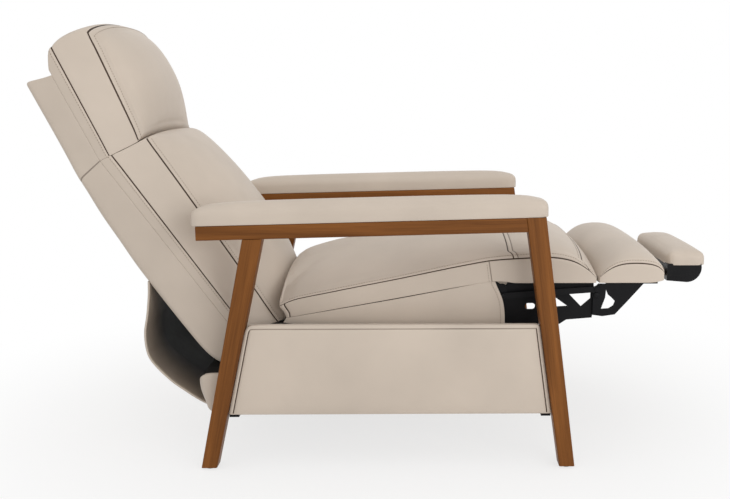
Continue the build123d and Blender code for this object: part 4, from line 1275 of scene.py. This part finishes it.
class RECLINER_OT_stage(bpy.types.Operator):
    """Set the floor, the soft lamps and the camera"""

    bl_idname = "recliner.stage"
    bl_label = "Stage"

    def execute(self, context):
        scene = context.scene
        stage = scene.recliner_stage
        self.floor(stage)
        self.sky(scene, stage)
        soft_lamp("overhead", (0.3, -0.6, 3.2), (0.0, 0.0, 0.4), (3.4, 2.6), stage.key_power)
        soft_lamp("front", (1.9, -3.1, 1.2), (0.0, 0.0, 0.45), (2.6, 1.8), stage.fill_power)
        scene.view_settings.view_transform = "Standard"
        lens = bpy.data.cameras.new("camera")
        lens.sensor_width = 36.0
        lens.lens = stage.focal_length
        lens.shift_x = stage.shift
        lens.clip_end = 60.0
        camera = bpy.data.objects.new("camera", lens)
        scene.collection.objects.link(camera)
        camera.location = stage.camera_place
        camera.rotation_euler = (pi / 2 - stage.camera_pitch, 0.0, -stage.camera_turn)
        scene.camera = camera
        return {"FINISHED"}

    def floor(self, stage):
        """Wide pale floor that keeps the chair's shadow."""
        reach, lie = 14.0, -0.0005
        corners = [(x * reach, y * reach, lie) for x, y in ((-1, -1), (1, -1), (1, 1), (-1, 1))]
        material, tree, shader = new_material("Pale floor")
        feed(tree, shader, {"Base Color": (0.86, 0.86, 0.86, 1.0), "Roughness": 0.8, SHINE: 0.1})
        glow = add_node(tree, "ShaderNodeEmission", {"Color": WHITE, "Strength": 1.0})
        away = add_node(tree, "ShaderNodeVectorMath", {0: object_place(tree)}, operation="LENGTH")
        fade = add_node(tree, "ShaderNodeMapRange", {
            "Value": away.outputs["Value"],
            "From Min": 0.55,
            "From Max": 1.5,
            "To Min": stage.floor_glow,
            "To Max": 1.0,
        }, interpolation_type="SMOOTHSTEP")
        share = worked(tree, "MULTIPLY", self.seen(tree), fade.outputs["Result"])
        self.mix(tree, share, shader.outputs["BSDF"], glow.outputs["Emission"], "Material Output")
        shown("floor", plain_mesh("floor", corners, [(0, 1, 2, 3)]), material)

    def sky(self, scene, stage):
        """Even light all round, white where the camera or a reflection sees it."""
        world = bpy.data.worlds.new("studio")
        world.use_nodes = True
        scene.world = world
        tree = world.node_tree
        even = tree.nodes["Background"]
        feed(tree, even, {"Color": (1.0, 0.985, 0.965, 1.0), "Strength": stage.sky})
        white = add_node(tree, "ShaderNodeBackground", {"Color": WHITE, "Strength": 1.0})
        lights = even.outputs["Background"], white.outputs["Background"]
        self.mix(tree, self.seen(tree), *lights, "World Output")

    def mix(self, tree, share, first, second, output):
        """Mixes two shaders into an output node."""
        made = add_node(tree, "ShaderNodeMixShader", {"Fac": share, 1: first, 2: second})
        feed(tree, tree.nodes[output], {"Surface": made.outputs["Shader"]})

    def seen(self, tree):
        """1 for rays from the camera and for rays seen in gloss or through glass."""
        ray = add_node(tree, "ShaderNodeLightPath").outputs
        direct = worked(tree, "MAXIMUM", ray["Is Camera Ray"], ray["Is Glossy Ray"])
        return worked(tree, "MAXIMUM", direct, ray["Is Transmission Ray"])


class RECLINER_PT_dressing(bpy.types.Panel):
    """Lists the steps that dress the chair"""

    bl_label = "Recliner"
    bl_idname = "RECLINER_PT_dressing"
    bl_space_type = "VIEW_3D"
    bl_region_type = "UI"
    bl_category = "Recliner"

    def draw(self, context):
        for step in STEPS:
            self.layout.operator(step.bl_idname)
        for group in ("recliner_sizes", "recliner_finish", "recliner_stage"):
            holder = getattr(context.scene, group)
            for key in holder.__annotations__:
                self.layout.prop(holder, key)


STEPS = (
    RECLINER_OT_stage,
    RECLINER_OT_wood,
    RECLINER_OT_mechanism,
    RECLINER_OT_side_panels,
    RECLINER_OT_rear_rail,
    RECLINER_OT_rear_flap,
    RECLINER_OT_arm_pads,
    RECLINER_OT_back_shell,
    RECLINER_OT_back_cushions,
    RECLINER_OT_seat_sides,
    RECLINER_OT_seat_cover,
    RECLINER_OT_leg_pad,
    RECLINER_OT_foot_flap,
)
GROUPS = (ReclinerSizes, ReclinerFinish, ReclinerStage)


def register():
    for item in (*GROUPS, *STEPS, RECLINER_PT_dressing):
        bpy.utils.register_class(item)
    bpy.types.Scene.recliner_sizes = PointerProperty(type=ReclinerSizes)
    bpy.types.Scene.recliner_finish = PointerProperty(type=ReclinerFinish)
    bpy.types.Scene.recliner_stage = PointerProperty(type=ReclinerStage)


def unregister():
    del bpy.types.Scene.recliner_stage
    del bpy.types.Scene.recliner_finish
    del bpy.types.Scene.recliner_sizes
    for item in reversed((*GROUPS, *STEPS, RECLINER_PT_dressing)):
        bpy.utils.unregister_class(item)


def main():
    register()
    for step in STEPS:
        group, name = step.bl_idname.split(".")
        getattr(getattr(bpy.ops, group), name)()


if __name__ == "__main__":
    main()
